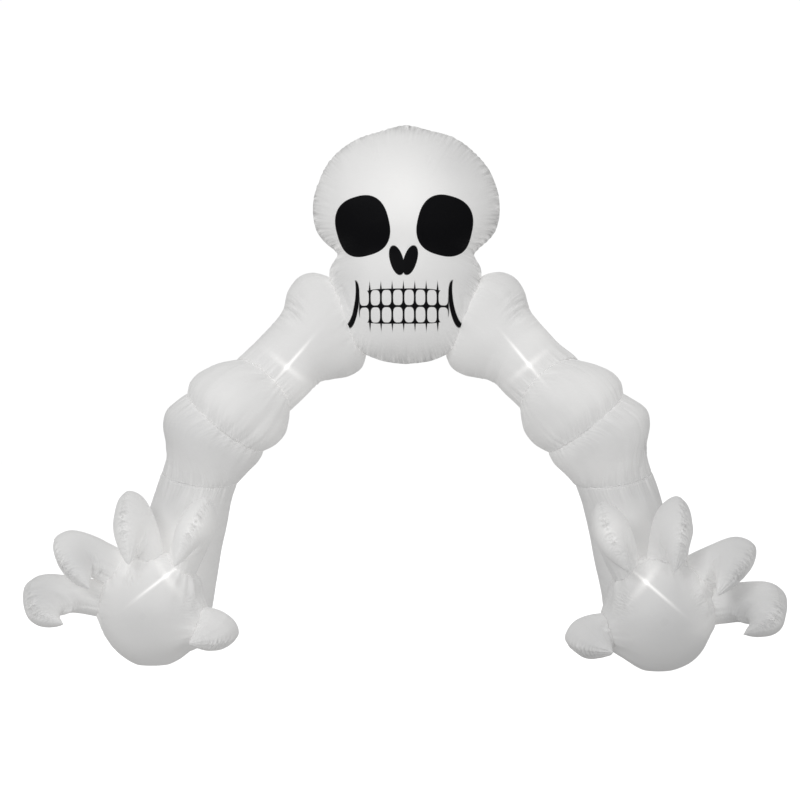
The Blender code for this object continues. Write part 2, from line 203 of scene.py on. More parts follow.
# The bent bag of a finger, section by section, as the solids have it: the part of the finger and
# the share of its length, how far the outer edge stands out in half thicknesses, the share of the
# inner edge, and the shares of the half breadth and of the bow.
FingerRow = namedtuple("FingerRow", "part share out inner breadth bow")
FINGER_ROWS = [
    FingerRow("stem", 0.00, 0.94, 0.00, 1.00, 0.00),
    FingerRow("stem", 0.45, 1.00, 0.45, 1.00, 0.00),
    FingerRow("stem", 0.85, 1.00, 0.80, 1.00, 0.00),
    FingerRow("turn", 0.28, 1.01, 0.88, 0.99, 0.10),
    FingerRow("turn", 0.56, 1.04, 0.93, 0.95, 0.20),
    FingerRow("turn", 0.82, 1.06, 0.96, 0.88, 0.32),
    FingerRow("claw", 0.14, 1.05, 0.02, 0.80, 0.66),
    FingerRow("claw", 0.38, 0.96, 0.14, 0.66, 0.95),
    FingerRow("claw", 0.62, 0.74, 0.44, 0.49, 0.76),
    FingerRow("claw", 0.82, 0.42, 0.75, 0.28, 0.36),
    FingerRow("claw", 0.95, 0.14, 0.94, 0.10, 0.10),
]

# ---------------------------------------------------------------- sizes of the cloth's folds
# Folds that a seam gathers: spacing along the seam, how far they run from it, how deep they are.
Gather = namedtuple("Gather", "spacing reach depth")
GATHERS = [Gather(0.020, 0.050, 0.0013), Gather(0.036, 0.090, 0.0022), Gather(0.080, 0.150, 0.0030)]
SKULL_GATHERS = [Gather(0.022, 0.120, 0.0012), Gather(0.036, 0.160, 0.0018), Gather(0.080, 0.150, 0.0008)]
TAUT = 0.050  # the cloth is smooth this close to a seam that shows as an outline
CLAW_PUCKER = Gather(0.020, 0.040, 0.0034)  # the small tight folds across a claw's front seam
SEAM_START = 0.386  # where round a panel the count along its seam starts: behind an upper arm
SEAM_SINK = 0.0035  # how deep a seam could lie in the cloth; each kind takes a share of it
SEAM_HALF_WIDTH = 0.009
SWITCH_AWAY, SWITCH_HALF_WIDTH = 0.3, 0.008  # how folds fade where two seams are equally near
UNEVENNESS = 0.0022  # slow rise and fall of a whole bag's cloth
FADE_FROM, FADE_OVER, LEAST_GATHERS = 1.75, 0.55, 0.12  # the skull's gathers weaken towards its chin
FOOT_SHARE, FOOT_RISE, FOOT_HALF_WIDTH = 0.93, 0.012, 0.035  # the palm's cloth, drawn out round a finger

# Creases and small bulges: the bag, where the line starts and ends, half its width, how far the
# cloth rises on it.
Crease = namedtuple("Crease", "bag start end half_width rise")
CREASES = [
    Crease("skull", (-0.328, -0.035, 1.905), (-0.268, -0.063, 1.765), 0.013, -0.012),
    Crease("skull", (-0.300, -0.060, 1.905), (-0.245, -0.085, 1.790), 0.016, 0.005),
    Crease("skull", (0.302, -0.055, 1.850), (0.296, -0.040, 1.745), 0.013, -0.009),
    Crease("skull", (0.357, 0.018, 2.030), (0.386, 0.075, 1.945), 0.011, -0.008),
    Crease("skull", (-0.336, -0.018, 2.020), (-0.362, 0.012, 1.960), 0.010, -0.004),
    Crease("skull", (-0.165, -0.040, 2.665), (-0.150, -0.132, 2.540), 0.008, -0.0035),
    Crease("skull", (-0.138, -0.050, 2.665), (-0.122, -0.130, 2.560), 0.008, -0.0030),
    Crease("skull", (0.215, -0.040, 2.640), (0.138, -0.138, 2.520), 0.007, -0.0045),
    Crease("skull", (0.190, -0.040, 2.655), (0.122, -0.135, 2.535), 0.007, -0.0035),
    Crease("elbow_lower_left", (-1.215, -0.060, 1.000), (-1.050, -0.120, 0.945), 0.008, -0.004),
    Crease("elbow_lower_right", (1.215, -0.060, 1.000), (1.050, -0.120, 0.945), 0.008, -0.004),
    Crease("upper_arm_left", (-0.640, 0.010, 1.800), (-0.520, -0.050, 1.775), 0.009, -0.005),
    Crease("upper_arm_right", (0.645, 0.010, 1.830), (0.530, -0.050, 1.790), 0.009, -0.005),
    Crease("finger_1_left", (-1.634, -0.215, 0.363), (-1.625, -0.215, 0.355), 0.036, 0.018),
    Crease("finger_2_left", (-1.520, -0.190, 0.425), (-1.500, -0.190, 0.420), 0.035, 0.013),
    Crease("palm_left", (-1.345, -0.262, 0.500), (-1.325, -0.310, 0.435), 0.020, 0.010),
    Crease("palm_left", (-1.235, -0.260, 0.520), (-1.200, -0.300, 0.470), 0.024, 0.009),
    Crease("palm_left", (-1.070, -0.225, 0.440), (-1.040, -0.240, 0.360), 0.014, 0.006),
    Crease("palm_right", (1.200, -0.320, 0.510), (1.212, -0.400, 0.465), 0.022, 0.010),
    Crease("palm_right", (1.395, -0.330, 0.460), (1.440, -0.375, 0.380), 0.024, 0.010),
    Crease("palm_right", (1.045, -0.300, 0.420), (1.050, -0.360, 0.350), 0.016, 0.006),
    Crease("palm_right", (1.470, -0.370, 0.325), (1.462, -0.375, 0.315), 0.026, 0.012),
    Crease("palm_right", (1.385, -0.400, 0.395), (1.440, -0.360, 0.340), 0.007, -0.004),
    Crease("palm_right", (1.370, -0.420, 0.365), (1.430, -0.395, 0.320), 0.007, -0.004),
]

# Painted light: lamps close behind the cloth, whose glow is painted into its emission; the scene has no
# lamps there. Each shows as a spot with a thin streak, longer at one end, and a wider one square to it:
# the bag, the spot's place, and which way that end runs, in degrees. An arm's streak crosses the seam
# onto the elbow.
Lamp = namedtuple("Lamp", "bag place slope")
LAMPS = [
    Lamp("upper_arm_left", (-0.593, -0.094, 1.497), 50),
    Lamp("elbow_upper_left", (-0.593, -0.094, 1.497), 50),
    Lamp("upper_arm_right", (0.630, -0.100, 1.504), 129),
    Lamp("elbow_upper_right", (0.630, -0.100, 1.504), 129),
    Lamp("palm_left", (-1.169, -0.297, 0.455), 219),
    Lamp("palm_right", (1.180, -0.411, 0.444), -41),
]
STREAK_LENGTH, STREAK_SHIFT, STREAK_HALF_WIDTH = 0.120, 0.042, 0.0075
CROSS_LENGTH, CROSS_HALF_WIDTH = 0.110, 0.016
SPOT_SIZE, HAZE_SIZE = 0.014, 0.13
STREAK_SHARE, CROSS_SHARE, SPOT_SHARE, HAZE_SHARE = 0.55, 0.22, 0.24, 0.04
LAMP_STRENGTH = 0.62
LAMP_DEPTH, LAMP_FADE = 0.168, 0.12  # how far behind its place a lamp's light ends, and the fade before that

# Painted light and painted shade: places where the glow painted into the cloth is raised, or
# lowered, against all over, for how light and shade fall on the arch there: the middle of the place
# as seen from the front, how far it reaches, and what it adds to the glow. The innermost claws come
# last, painted light in the hollows about the fingers' bases.
Glow = namedtuple("Glow", "slot x z reach change")
GLOWS = [
    Glow("skull_cloth", 0.02, 2.33, 0.26, 0.15),
    Glow("skull_cloth", 0.25, 2.54, 0.15, -0.06),
    Glow("skull_cloth", -0.32, 1.92, 0.10, -0.06),
    Glow("skull_cloth", 0.31, 1.92, 0.08, -0.04),
    Glow("arm_cloth", -0.53, 1.38, 0.10, 0.10),
    Glow("arm_cloth", -0.92, 1.30, 0.12, 0.05),
    Glow("arm_cloth", -0.66, 1.17, 0.10, 0.06),
    Glow("arm_cloth", -0.90, 1.10, 0.12, -0.04),
    Glow("arm_cloth", -1.10, 0.92, 0.13, -0.06),
    Glow("arm_cloth", -1.20, 0.785, 0.13, -0.12),
    Glow("arm_cloth", 0.68, 1.68, 0.12, 0.08),
    Glow("arm_cloth", 0.98, 1.38, 0.15, 0.06),
    Glow("arm_cloth", 0.70, 1.27, 0.08, -0.04),
    Glow("arm_cloth", 1.17, 1.20, 0.11, 0.07),
    Glow("arm_cloth", 0.90, 1.10, 0.10, -0.05),
    Glow("arm_cloth", 1.16, 0.88, 0.11, -0.05),
    Glow("arm_cloth", 1.19, 0.52, 0.08, 0.06),
    Glow("hand_cloth", -1.33, 0.66, 0.09, 0.05),
    Glow("hand_cloth", -1.38, 0.50, 0.07, 0.07),
    Glow("hand_cloth", -1.08, 0.53, 0.07, 0.06),
    Glow("hand_cloth", -1.57, 0.55, 0.11, -0.08),
    Glow("hand_cloth", -1.74, 0.56, 0.07, 0.05),
    Glow("hand_cloth", -1.80, 0.36, 0.10, -0.11),
    Glow("hand_cloth", -1.28, 0.24, 0.13, -0.05),
    Glow("hand_cloth", 0.93, 0.15, 0.10, -0.04),
    Glow("hand_cloth", 1.06, 0.70, 0.12, 0.06),
    Glow("hand_cloth", 1.19, 0.50, 0.07, 0.08),
    Glow("hand_cloth", 1.27, 0.25, 0.12, -0.05),
    Glow("hand_cloth", 1.37, 0.70, 0.10, 0.05),
    Glow("hand_cloth", 1.46, 0.43, 0.09, 0.09),
    Glow("hand_cloth", 1.48, 0.24, 0.08, 0.09),
    Glow("hand_cloth", 1.62, 0.48, 0.08, -0.04),
    Glow("hand_cloth", 1.65, 0.29, 0.09, -0.09),
    Glow("hand_cloth", 1.75, 0.49, 0.08, 0.10),
    Glow("hand_cloth", -1.01, 0.70, 0.10, 0.11),
    Glow("hand_cloth", 1.01, 0.70, 0.10, 0.11),
]

# Where small wrinkles lie thick: the bag, the middle of the place, how far it reaches and how
# strong they are.
Wrinkles = namedtuple("Wrinkles", "bag place reach strength")
WRINKLES = [
    Wrinkles("upper_arm_left", (-0.575, 0.030, 1.775), 0.085, 1.0),
    Wrinkles("upper_arm_right", (0.575, 0.030, 1.785), 0.090, 1.0),
    Wrinkles("elbow_lower_right", (1.190, -0.060, 1.060), 0.075, 0.8),
    Wrinkles("palm_right", (1.080, -0.380, 0.330), 0.060, 0.8),
    Wrinkles("palm_right", (1.420, -0.370, 0.350), 0.060, 0.7),
    Wrinkles("palm_left", (-1.330, -0.300, 0.440), 0.050, 0.7),
    Wrinkles("palm_left", (-1.060, -0.260, 0.300), 0.050, 0.8),
]


# ---------------------------------------------------------------- waves and folds
def ripple(along, fewest, most, seed):
    """Sum of nine sines over a 0..1 parameter, with whole numbers of cycles, so that it closes."""
    draw = np.random.default_rng(seed)
    cycles = draw.integers(max(int(fewest), 1), max(int(most), 2) + 1, 9)
    phases = draw.uniform(0, 2 * math.pi, 9)
    sizes = draw.uniform(0.5, 1.0, 9)
    waves = sum(a * np.sin(2 * math.pi * n * along + p) for a, n, p in zip(sizes, cycles, phases))
    return waves / np.sqrt((sizes**2).sum())


def unevenness(points, seed):
    """Sum of twelve plane waves through space, each 0.14 to 0.5 m long, of about unit size."""
    draw = np.random.default_rng(seed)
    aims = draw.normal(size=(12, 3))
    aims /= np.linalg.norm(aims, axis=1)[:, None]
    aims *= 2 * math.pi / draw.uniform(0.14, 0.5, (12, 1))
    phases = draw.uniform(0, 2 * math.pi, 12)
    return np.sin(points @ aims.T + phases).sum(axis=-1) / math.sqrt(6)


def gathers(along, length, away, seed, kinds=GATHERS):
    """Depth times a ripple along the seam times exp(-(distance / reach)^2), for each kind of fold.

    A slower ripple varies the reach along the seam, from 0.3 to 2 times the kind's own.
    """
    height = np.zeros(np.broadcast(along, away).shape)
    for k, fold in enumerate(kinds):
        cycles = length / fold.spacing
        wave = ripple(along, 0.7 * cycles, 1.35 * cycles, seed + k)
        vary = 1 + 0.45 * ripple(along, 0.08 * cycles, 0.3 * cycles, seed + 10 + k)
        reach = fold.reach * np.clip(vary, 0.3, 2.0)
        height = height + fold.depth * wave * np.exp(-((away / reach) ** 2))
    return height


def loose(away):
    """0 at a taut seam, rising to 1 beside it."""
    return 1 - np.exp(-((away / TAUT) ** 2))


def puckers(along, length, away, seed):
    """Small tight folds beside a seam, in clusters: a fine ripple times the upper part of a slow one."""
    cycles = length / CLAW_PUCKER.spacing
    wave = ripple(along, 0.8 * cycles, 1.3 * cycles, seed)
    cluster = np.clip(0.6 + 0.8 * ripple(along, 0.15 * cycles, 0.35 * cycles, seed + 1), 0, 2)
    return CLAW_PUCKER.depth * wave * cluster * np.exp(-((away / CLAW_PUCKER.reach) ** 2))


def seam_sink(away):
    """The cloth's drop at a seam: a narrow valley, exp(-(distance / half width)^2)."""
    return -SEAM_SINK * np.exp(-((away / SEAM_HALF_WIDTH) ** 2))


def off_line(points, start, end):
    """Distance of each point from a straight line between two places."""
    start, end = np.array(start), np.array(end)
    run = end - start
    share = np.clip((points - start) @ run / (run @ run), 0, 1)
    return np.linalg.norm(points - start - share[..., None] * run, axis=-1)


def nearer_seam(first_along, first_away, second_along, second_away):
    """Place along and distance from the nearer of two seams.

    Where both are equally far, the distance counts as more, nearest + 0.3 exp(-(difference / 8 mm)^2).
    Folds that weaken with the distance fade out there. Wrinkles don't, and show a short line.
    """
    along = np.where(first_away < second_away, first_along, second_along)
    away = np.minimum(first_away, second_away)
    return along, away + SWITCH_AWAY * np.exp(-(((first_away - second_away) / SWITCH_HALF_WIDTH) ** 2))


def wrinkles(bag, points):
    """Sum of each place's strength times exp(-(distance / reach)^2)."""
    weight = np.zeros(points.shape[:-1])
    for place in WRINKLES:
        if place.bag == bag:
            away = np.linalg.norm(points - np.array(place.place), axis=-1)
            weight += place.strength * np.exp(-((away / place.reach) ** 2))
    return weight


def creases(bag, points):
    """Sum of each line's rise times exp(-(distance / half width)^2)."""
    height = np.zeros(points.shape[:-1])
    for line in CREASES:
        if line.bag == bag:
            height += line.rise * np.exp(-((off_line(points, line.start, line.end) / line.half_width) ** 2))
    return height


# ---------------------------------------------------------------- surfaces
def turns(count):
    """Evenly spaced angles, once round."""
    return np.arange(count) * 2 * math.pi / count


def smooth_rows(rows, steps):
    """Cubic curve through a table's rows, with steps rows made for each gap.

    Its slope at a row is half the difference of the rows before and after.
    """
    rows = np.asarray(rows, float)
    before = np.vstack([2 * rows[0] - rows[1], rows[:-1]])[:-1, None]
    after = np.vstack([rows[1:], 2 * rows[-1] - rows[-2]])[1:, None]
    here, there = rows[:-1, None], rows[1:, None]
    t = (np.arange(steps) / steps)[None, :, None]
    curve = 0.5 * (
        2 * here
        + (there - before) * t
        + (2 * before - 5 * here + 4 * there - after) * t**2
        + (3 * here - before - 3 * there + after) * t**3
    )
    return np.vstack([curve.reshape(-1, rows.shape[1]), rows[-1:]])


def respaced(rows, lengths, spacing):
    """Rows read again, with steps of their running length as long as spacing gives for each place."""
    run = np.concatenate([[0], np.cumsum(lengths)])
    steps = np.concatenate([[0], np.cumsum(lengths / spacing((run[1:] + run[:-1]) / 2))])
    read = np.interp(np.linspace(0, steps[-1], int(round(steps[-1])) + 1), steps, run)
    return np.stack([np.interp(read, run, column) for column in rows.T], axis=1)


def outwards(rings):
    """Unit normals of a grid of rings: the cross of its two tangents, turned away from its inside."""
    round_it = np.roll(rings, -1, axis=1) - np.roll(rings, 1, axis=1)
    along_it = np.gradient(rings, axis=0)
    normal = np.cross(round_it, along_it)
    normal /= np.linalg.norm(normal, axis=-1)[..., None] + 1e-12
    from_middle = rings - rings.mean(axis=1)[:, None]
    return normal * np.sign((normal * from_middle).sum())


def tube_cloth(angle, radius, run):
    """Flat places of a tube's cloth: the girth from its quarter turn, and the length along it."""
    wrap = np.append(angle, 2 * math.pi)[None]
    girth = (wrap - math.pi / 2) * radius
    return np.stack([girth, np.broadcast_to(run[:, None], girth.shape)], axis=-1)


def run_along(rings):
    """Running length down each column of a grid, averaged round the ring."""
    steps = np.linalg.norm(np.diff(rings, axis=0), axis=-1).mean(axis=1)
    return np.concatenate([[0], np.cumsum(steps)])


# ---------------------------------------------------------------- meshes
def lamp_place(bag, points):
    """Each point's place along and across its bag's painted lamp streak, and how near the lamp it is, 0 to 1.
    """
    for lamp in LAMPS:
        if lamp.bag == bag:
            away = points - np.array(lamp.place)
            c, s = math.cos(math.radians(lamp.slope)), math.sin(math.radians(lamp.slope))
            along, across = away[:, 0] * c + away[:, 2] * s, away[:, 2] * c - away[:, 0] * s
            return np.stack([along, across, np.clip((LAMP_DEPTH - away[:, 1]) / LAMP_FADE, 0, 1)], axis=1)
    return np.zeros((len(points), 3))


def sew(name, rings, start, end, seam, cloth, material):
    """One closed bag: quads between neighbouring rings, and a fan of triangles to a point at each end.

    seam holds each point's place along and distance from its nearest seam, and how thick wrinkles
    lie there, cloth each corner's place on the flat cloth.
    """
    count, sides = rings.shape[:2]
    total = count * sides
    # No cloth lies below the ground.
    points = np.maximum(np.vstack([rings.reshape(-1, 3), start, end]), [-FAR, -FAR, 0.0])
    index = np.arange(total).reshape(count, sides)
    aside = np.roll(index, -1, axis=1)
    quads = np.stack([index[:-1], aside[:-1], aside[1:], index[1:]], axis=-1).reshape(-1, 4)
    start_fan = np.stack([aside[0], index[0], np.full(sides, total)], axis=-1)
    end_fan = np.stack([index[-1], aside[-1], np.full(sides, total + 1)], axis=-1)
    # Faces point outwards when the cones from the bag's middle to its quads add up to a volume.
    corners = points[quads] - points.mean(axis=0)
    flipped = (corners[:, 0] * np.cross(corners[:, 1], corners[:, 2])).sum() < 0
    if flipped:
        quads, start_fan, end_fan = quads[:, ::-1], start_fan[:, ::-1], end_fan[:, ::-1]
    mesh = bpy.data.meshes.new(name)
    mesh.from_pydata(points.tolist(), [], quads.tolist() + start_fan.tolist() + end_fan.tolist())
    mesh.shade_smooth()

    before, after = cloth[:, :-1], cloth[:, 1:]
    quad_places = np.stack([before[:-1], after[:-1], after[1:], before[1:]], axis=2).reshape(-1, 4, 2)
    start_places = np.stack([after[0], before[0], (after[0] + before[0]) / 2], axis=1)
    end_places = np.stack([before[-1], after[-1], (after[-1] + before[-1]) / 2], axis=1)
    places = [quad_places, start_places, end_places]
    if flipped:
        places = [place[:, ::-1] for place in places]
    flat = mesh.uv_layers.new(name="cloth")
    flat.data.foreach_set("uv", np.vstack([place.reshape(-1, 2) for place in places]).ravel())

    marks = np.vstack([seam.reshape(-1, 3), seam[0].mean(axis=0), seam[-1].mean(axis=0)])
    for label, values in (("seam", marks), ("lamp", lamp_place(name, points))):
        mesh.attributes.new(label, "FLOAT_VECTOR", "POINT").data.foreach_set("vector", values.ravel())

    mesh.materials.append(material)
    piece = bpy.data.objects.new("cloth_" + name, mesh)
    bpy.context.scene.collection.objects.link(piece)
    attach(piece, "root")
    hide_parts(name)
    return piece


def fitted(piece, others):
    """Lays what of a bag is inside its neighbours on their cloth, a millimetre clear of it."""
    for other in others:
        hug = piece.modifiers.new("against_" + other.name, "SHRINKWRAP")
        hug.target = other
        hug.wrap_method = "NEAREST_SURFACEPOINT"
        hug.wrap_mode = "OUTSIDE"
        hug.offset = GAP
    shape = bpy.data.meshes.new_from_object(piece.evaluated_get(bpy.context.evaluated_depsgraph_get()))
    piece.modifiers.clear()
    piece.data = shape


# ---------------------------------------------------------------- the skull
def skull_squareness(points):
    """How far out a point lies in the skull's level section, as a share of the way to its cloth."""
    table = smooth_rows(SKULL, 8)
    chin = table[0] * [1, 0, 1, 1] - [POLE_RISE, 0, 0, 0]
    crown = table[-1] * [1, 0, 1, 1] + [POLE_RISE, 0, 0, 0]
    table = np.vstack([chin, table, crown])
    z = points[..., 2]
    half_width, front, back = (np.interp(z, table[:, 0], table[:, k]) for k in (1, 2, 3))
    inside = (z > table[0, 0]) & (z < table[-1, 0])
    across = abs(points[..., 0]) / np.maximum(half_width, 1e-4)
    deep = abs(points[..., 1] - (front + back) / 2) / np.maximum((back - front) / 2, 1e-4)
    share = (across**SKULL_SQUARENESS + deep**SKULL_SQUARENESS) ** (1 / SKULL_SQUARENESS)
    return np.where(inside, share, FAR)


def seam_to_pole_angles(count):
    """Angles from the front pole to the back one, closer together at the seam between the two."""
    t = np.linspace(-1, 1, count + 2)[1:-1]
    return math.pi / 2 * (1 + t * (0.55 + 0.45 * t * t))


def polar_grid(middle, columns, rows, reach):
    """Rays from the middle, turned about the depth axis by one angle and from the front by the other.

    reach gives each ray's length to the cloth.
    """
    turn = turns(columns)
    tilt = seam_to_pole_angles(rows)[:, None]
    off_axis, deep = np.sin(tilt), -np.cos(tilt) + 0 * turn
    ray = np.stack([off_axis * np.sin(turn), deep, off_axis * np.cos(turn)], axis=-1)
    ends = np.array([[0, -1.0, 0], [0, 1.0, 0]])
    grid = middle + ray * reach(ray)[..., None]
    start, end = middle + ends * reach(ends)[:, None]
    return grid, start, end


def cloth_reach(middle, grid):
    """For the finished cloth of a polar grid, a function from directions to the ray's length to it.

    It reads the grid's lengths between its four nearest rays, each by its share.
    """
    rows, columns = grid.shape[:2]
    lengths = np.linalg.norm(grid - middle, axis=-1)
    tilts = seam_to_pole_angles(rows)

    def reach(ray):
        """The lengths of the rays before and after, above and below, each by its nearness."""
        row = np.interp(np.arccos(np.clip(-ray[..., 1], -1, 1)), tilts, np.arange(rows))
        column = (np.arctan2(ray[..., 0], ray[..., 2]) / (2 * math.pi) % 1) * columns
        top = np.minimum(row.astype(int), rows - 2)
        left = column.astype(int) % columns
        down, across = row - top, column - column.astype(int)
        right = (left + 1) % columns
        upper = lengths[top, left] * (1 - across) + lengths[top, right] * across
        lower = lengths[top + 1, left] * (1 - across) + lengths[top + 1, right] * across
        return upper * (1 - down) + lower * down

    return reach


def laid_on(grid, middle, reach):
    """Ends a bag on a round neighbour's cloth.

    Each column is cut where it leaves the neighbour for good. Its rows before that spread over the
    neighbour's cloth, from the middle of the cut out to its edge, a millimetre clear of it.
    """

    def on_cloth(ray):
        """Where a ray from the neighbour's middle is a millimetre outside its cloth."""
        ray = ray / np.linalg.norm(ray, axis=-1)[..., None]
        return middle + ray * (reach(ray) + GAP)[..., None]

    away = grid - middle
    length = np.linalg.norm(away, axis=-1)
    over = length - reach(away / length[..., None]) - GAP
    count, columns = over.shape
    last = count - 1 - np.argmax(over[::-1] < 0, axis=0)
    each = np.arange(columns)
    inner, outer = over[last, each], over[last + 1, each]
    share = (inner / (inner - outer))[:, None]
    edge = away[last, each] * (1 - share) + away[last + 1, each] * share
    centre = edge / np.linalg.norm(edge, axis=1)[:, None]
    centre = centre.mean(axis=0) * np.linalg.norm(edge, axis=1).mean()
    row = np.arange(count)[:, None]
    spread = ((row + 1) / (last + 1)[None])[..., None]
    cap = on_cloth(centre + (edge - centre) * spread)
    return np.where((row <= last)[..., None], cap, grid), on_cloth(centre)


def pole_cloth(grid):
    """Flat places of two round panels: the running length from the front's middle, at the ray's angle."""
    columns = grid.shape[1]
    steps = np.linalg.norm(np.diff(grid, axis=0), axis=-1)
    run = np.vstack([np.zeros((1, columns)), np.cumsum(steps, axis=0)])
    turn = np.arange(columns + 1) * 2 * math.pi / columns
    run = np.hstack([run, run[:, :1]])
    return np.stack([run * np.sin(turn), run * np.cos(turn)], axis=-1)


def two_panels(name, middle, grid, start, end, strength, kinds, material, extra=0):
    """A bag of a front and a back panel, sewn together round its outline, and the reach of its cloth."""
    rows, columns = grid.shape[:2]
    seam_row = rows // 2
    steps = np.linalg.norm(np.diff(grid, axis=0), axis=-1)
    run = np.vstack([np.zeros((1, columns)), np.cumsum(steps, axis=0)])
    away = abs(run - run[seam_row])
    edge = grid[seam_row]
    edge_steps = np.linalg.norm(np.roll(edge, -1, axis=0) - edge, axis=-1)
    length = edge_steps.sum()
    along = np.cumsum(edge_steps) / length
    along = (along - along[int(SEAM_START * columns)]) % 1
    seed = sum(map(ord, name))
    height = strength * loose(away) * gathers(along[None], length, away, seed, kinds) + 0.5 * seam_sink(away)
    height += UNEVENNESS * unevenness(grid, seed) + creases(name, grid) + extra
    grid = grid + outwards(grid) * height[..., None]
    seam = np.stack([np.broadcast_to(along * length, away.shape), away, wrinkles(name, grid)], axis=-1)
    piece = sew(name, grid, start, end, seam, pole_cloth(grid), material)
    return piece, cloth_reach(middle, grid)


def skull_reach(ray):
    """Length of a ray from the skull's middle to its cloth, by halving an interval 34 times."""
    near, far = np.zeros(ray.shape[:-1]), np.full(ray.shape[:-1], 1.2)
    for _ in range(34):
        half = (near + far) / 2
        inside = skull_squareness(SKULL_MIDDLE + ray * half[..., None]) < 1
        near, far = np.where(inside, half, near), np.where(inside, far, half)
    return near


def make_skull(material):
    """The head bag, its gathers weaker towards the chin."""
    grid, start, end = polar_grid(SKULL_MIDDLE, SKULL_COLUMNS, SKULL_ROWS, skull_reach)
    seam_height = grid[grid.shape[0] // 2, :, 2]
    strength = np.clip((seam_height - FADE_FROM) / FADE_OVER, LEAST_GATHERS, 1)
    return two_panels(
        "skull", SKULL_MIDDLE, grid, start, end, strength, SKULL_GATHERS, material
    )


# ---------------------------------------------------------------- the arms
def arm_frames(side):
    """For each row of the arm's table: its middle, and its half vectors outwards and forwards."""
    sign = -SIDES[side]
    outer = np.array([(row.outer_x * sign, row.depth, row.outer_z) for row in ARM])
    inner = np.array([(row.inner_x * sign, row.depth, row.inner_z) for row in ARM])
    middle, across = (outer + inner) / 2, (outer - inner) / 2
    along = np.gradient(middle, axis=0)
    forward = np.cross(along, across)
    forward *= np.sign(-forward[:, 1:2])
    forward /= np.linalg.norm(forward, axis=1)[:, None]
    lean = np.tan(np.radians([[row.lean] for row in ARM]))
    forward += along / np.linalg.norm(along, axis=1)[:, None] * lean
    forward *= np.array([[row.half_depth] for row in ARM])
    forward[-4:, 2] = 0  # the foot stands flat
    return np.hstack([middle, across, forward])


def curvature(edge):
    """Curvature of a line at each of its points, as a vector towards its hollow side."""
    ends = edge[:1] * 2 - edge[1:2], edge[-1:] * 2 - edge[-2:-1]
    line = np.vstack([ends[0], edge, ends[1]])
    step = np.linalg.norm(np.diff(line, axis=0), axis=1)
    bend = (line[2:] - line[1:-1]) / step[1:, None] - (line[1:-1] - line[:-2]) / step[:-1, None]
    return bend / ((step[1:] + step[:-1]) / 2)[:, None]


def smoothed(values, reach):
    """Running mean over 2 * reach + 1 rows, weighted by a raised cosine."""
    weight = np.hanning(2 * reach + 3)[1:-1]
    padded = np.concatenate([np.full(reach, values[0]), values, np.full(reach, values[-1])])
    return np.convolve(padded, weight / weight.sum(), mode="valid")


def arm_rings(frames, first, last, smooth_step):
    """Rings of middle + cos a * outwards + sin a * forwards, with their middles and mean radii."""
    rows = smooth_rows(frames[first : last + 1], 40)
    edges = rows[:, :3] + rows[:, 3:6], rows[:, :3] - rows[:, 3:6]
    outer_steps, inner_steps = (np.linalg.norm(np.diff(edge, axis=0), axis=1) for edge in edges)
    steps = (outer_steps + inner_steps) / 2

    def spacing(run):
        """Fine near the seams, coarse where the cloth is smooth."""
        to_start = run if ARM[first].bag == "seam" else FAR
        to_end = steps.sum() - run if ARM[last].bag == "seam" else FAR
        away = np.minimum(to_start, to_end)
        return SEAM_STEP + (smooth_step - SEAM_STEP) * np.clip((away - 0.07) / 0.06, 0, 1)

    rows = respaced(rows, steps, spacing)
    middle, across, forward = rows[:, None, :3], rows[:, None, 3:6], rows[:, None, 6:9]
    angle = turns(ARM_SIDES)
    c, s = np.cos(angle)[None, :, None], np.sin(angle)[None, :, None]
    radius = (np.linalg.norm(across, axis=-1) + np.linalg.norm(forward, axis=-1)) / 2
    return middle + c * across + s * forward, middle[:, 0], radius


def edge_folds(grid, normal, run, away, seed):
    """Gathers along a bag's outer and inner edge, deeper where the edge is hollow and the cloth slack."""
    sides = grid.shape[1]
    slack = []
    for column in (0, sides // 2):
        hollow = (curvature(grid[:, column]) * normal[:, column]).sum(axis=1)
        slack.append(0.20 + 0.26 * np.clip(smoothed(hollow, 6), 0, 5))
    slack = np.where(np.cos(turns(sides))[None] > 0, slack[0][:, None], slack[1][:, None])
    return slack * loose(away * 1.5) * gathers((run / run[-1])[:, None], run[-1], away, seed)


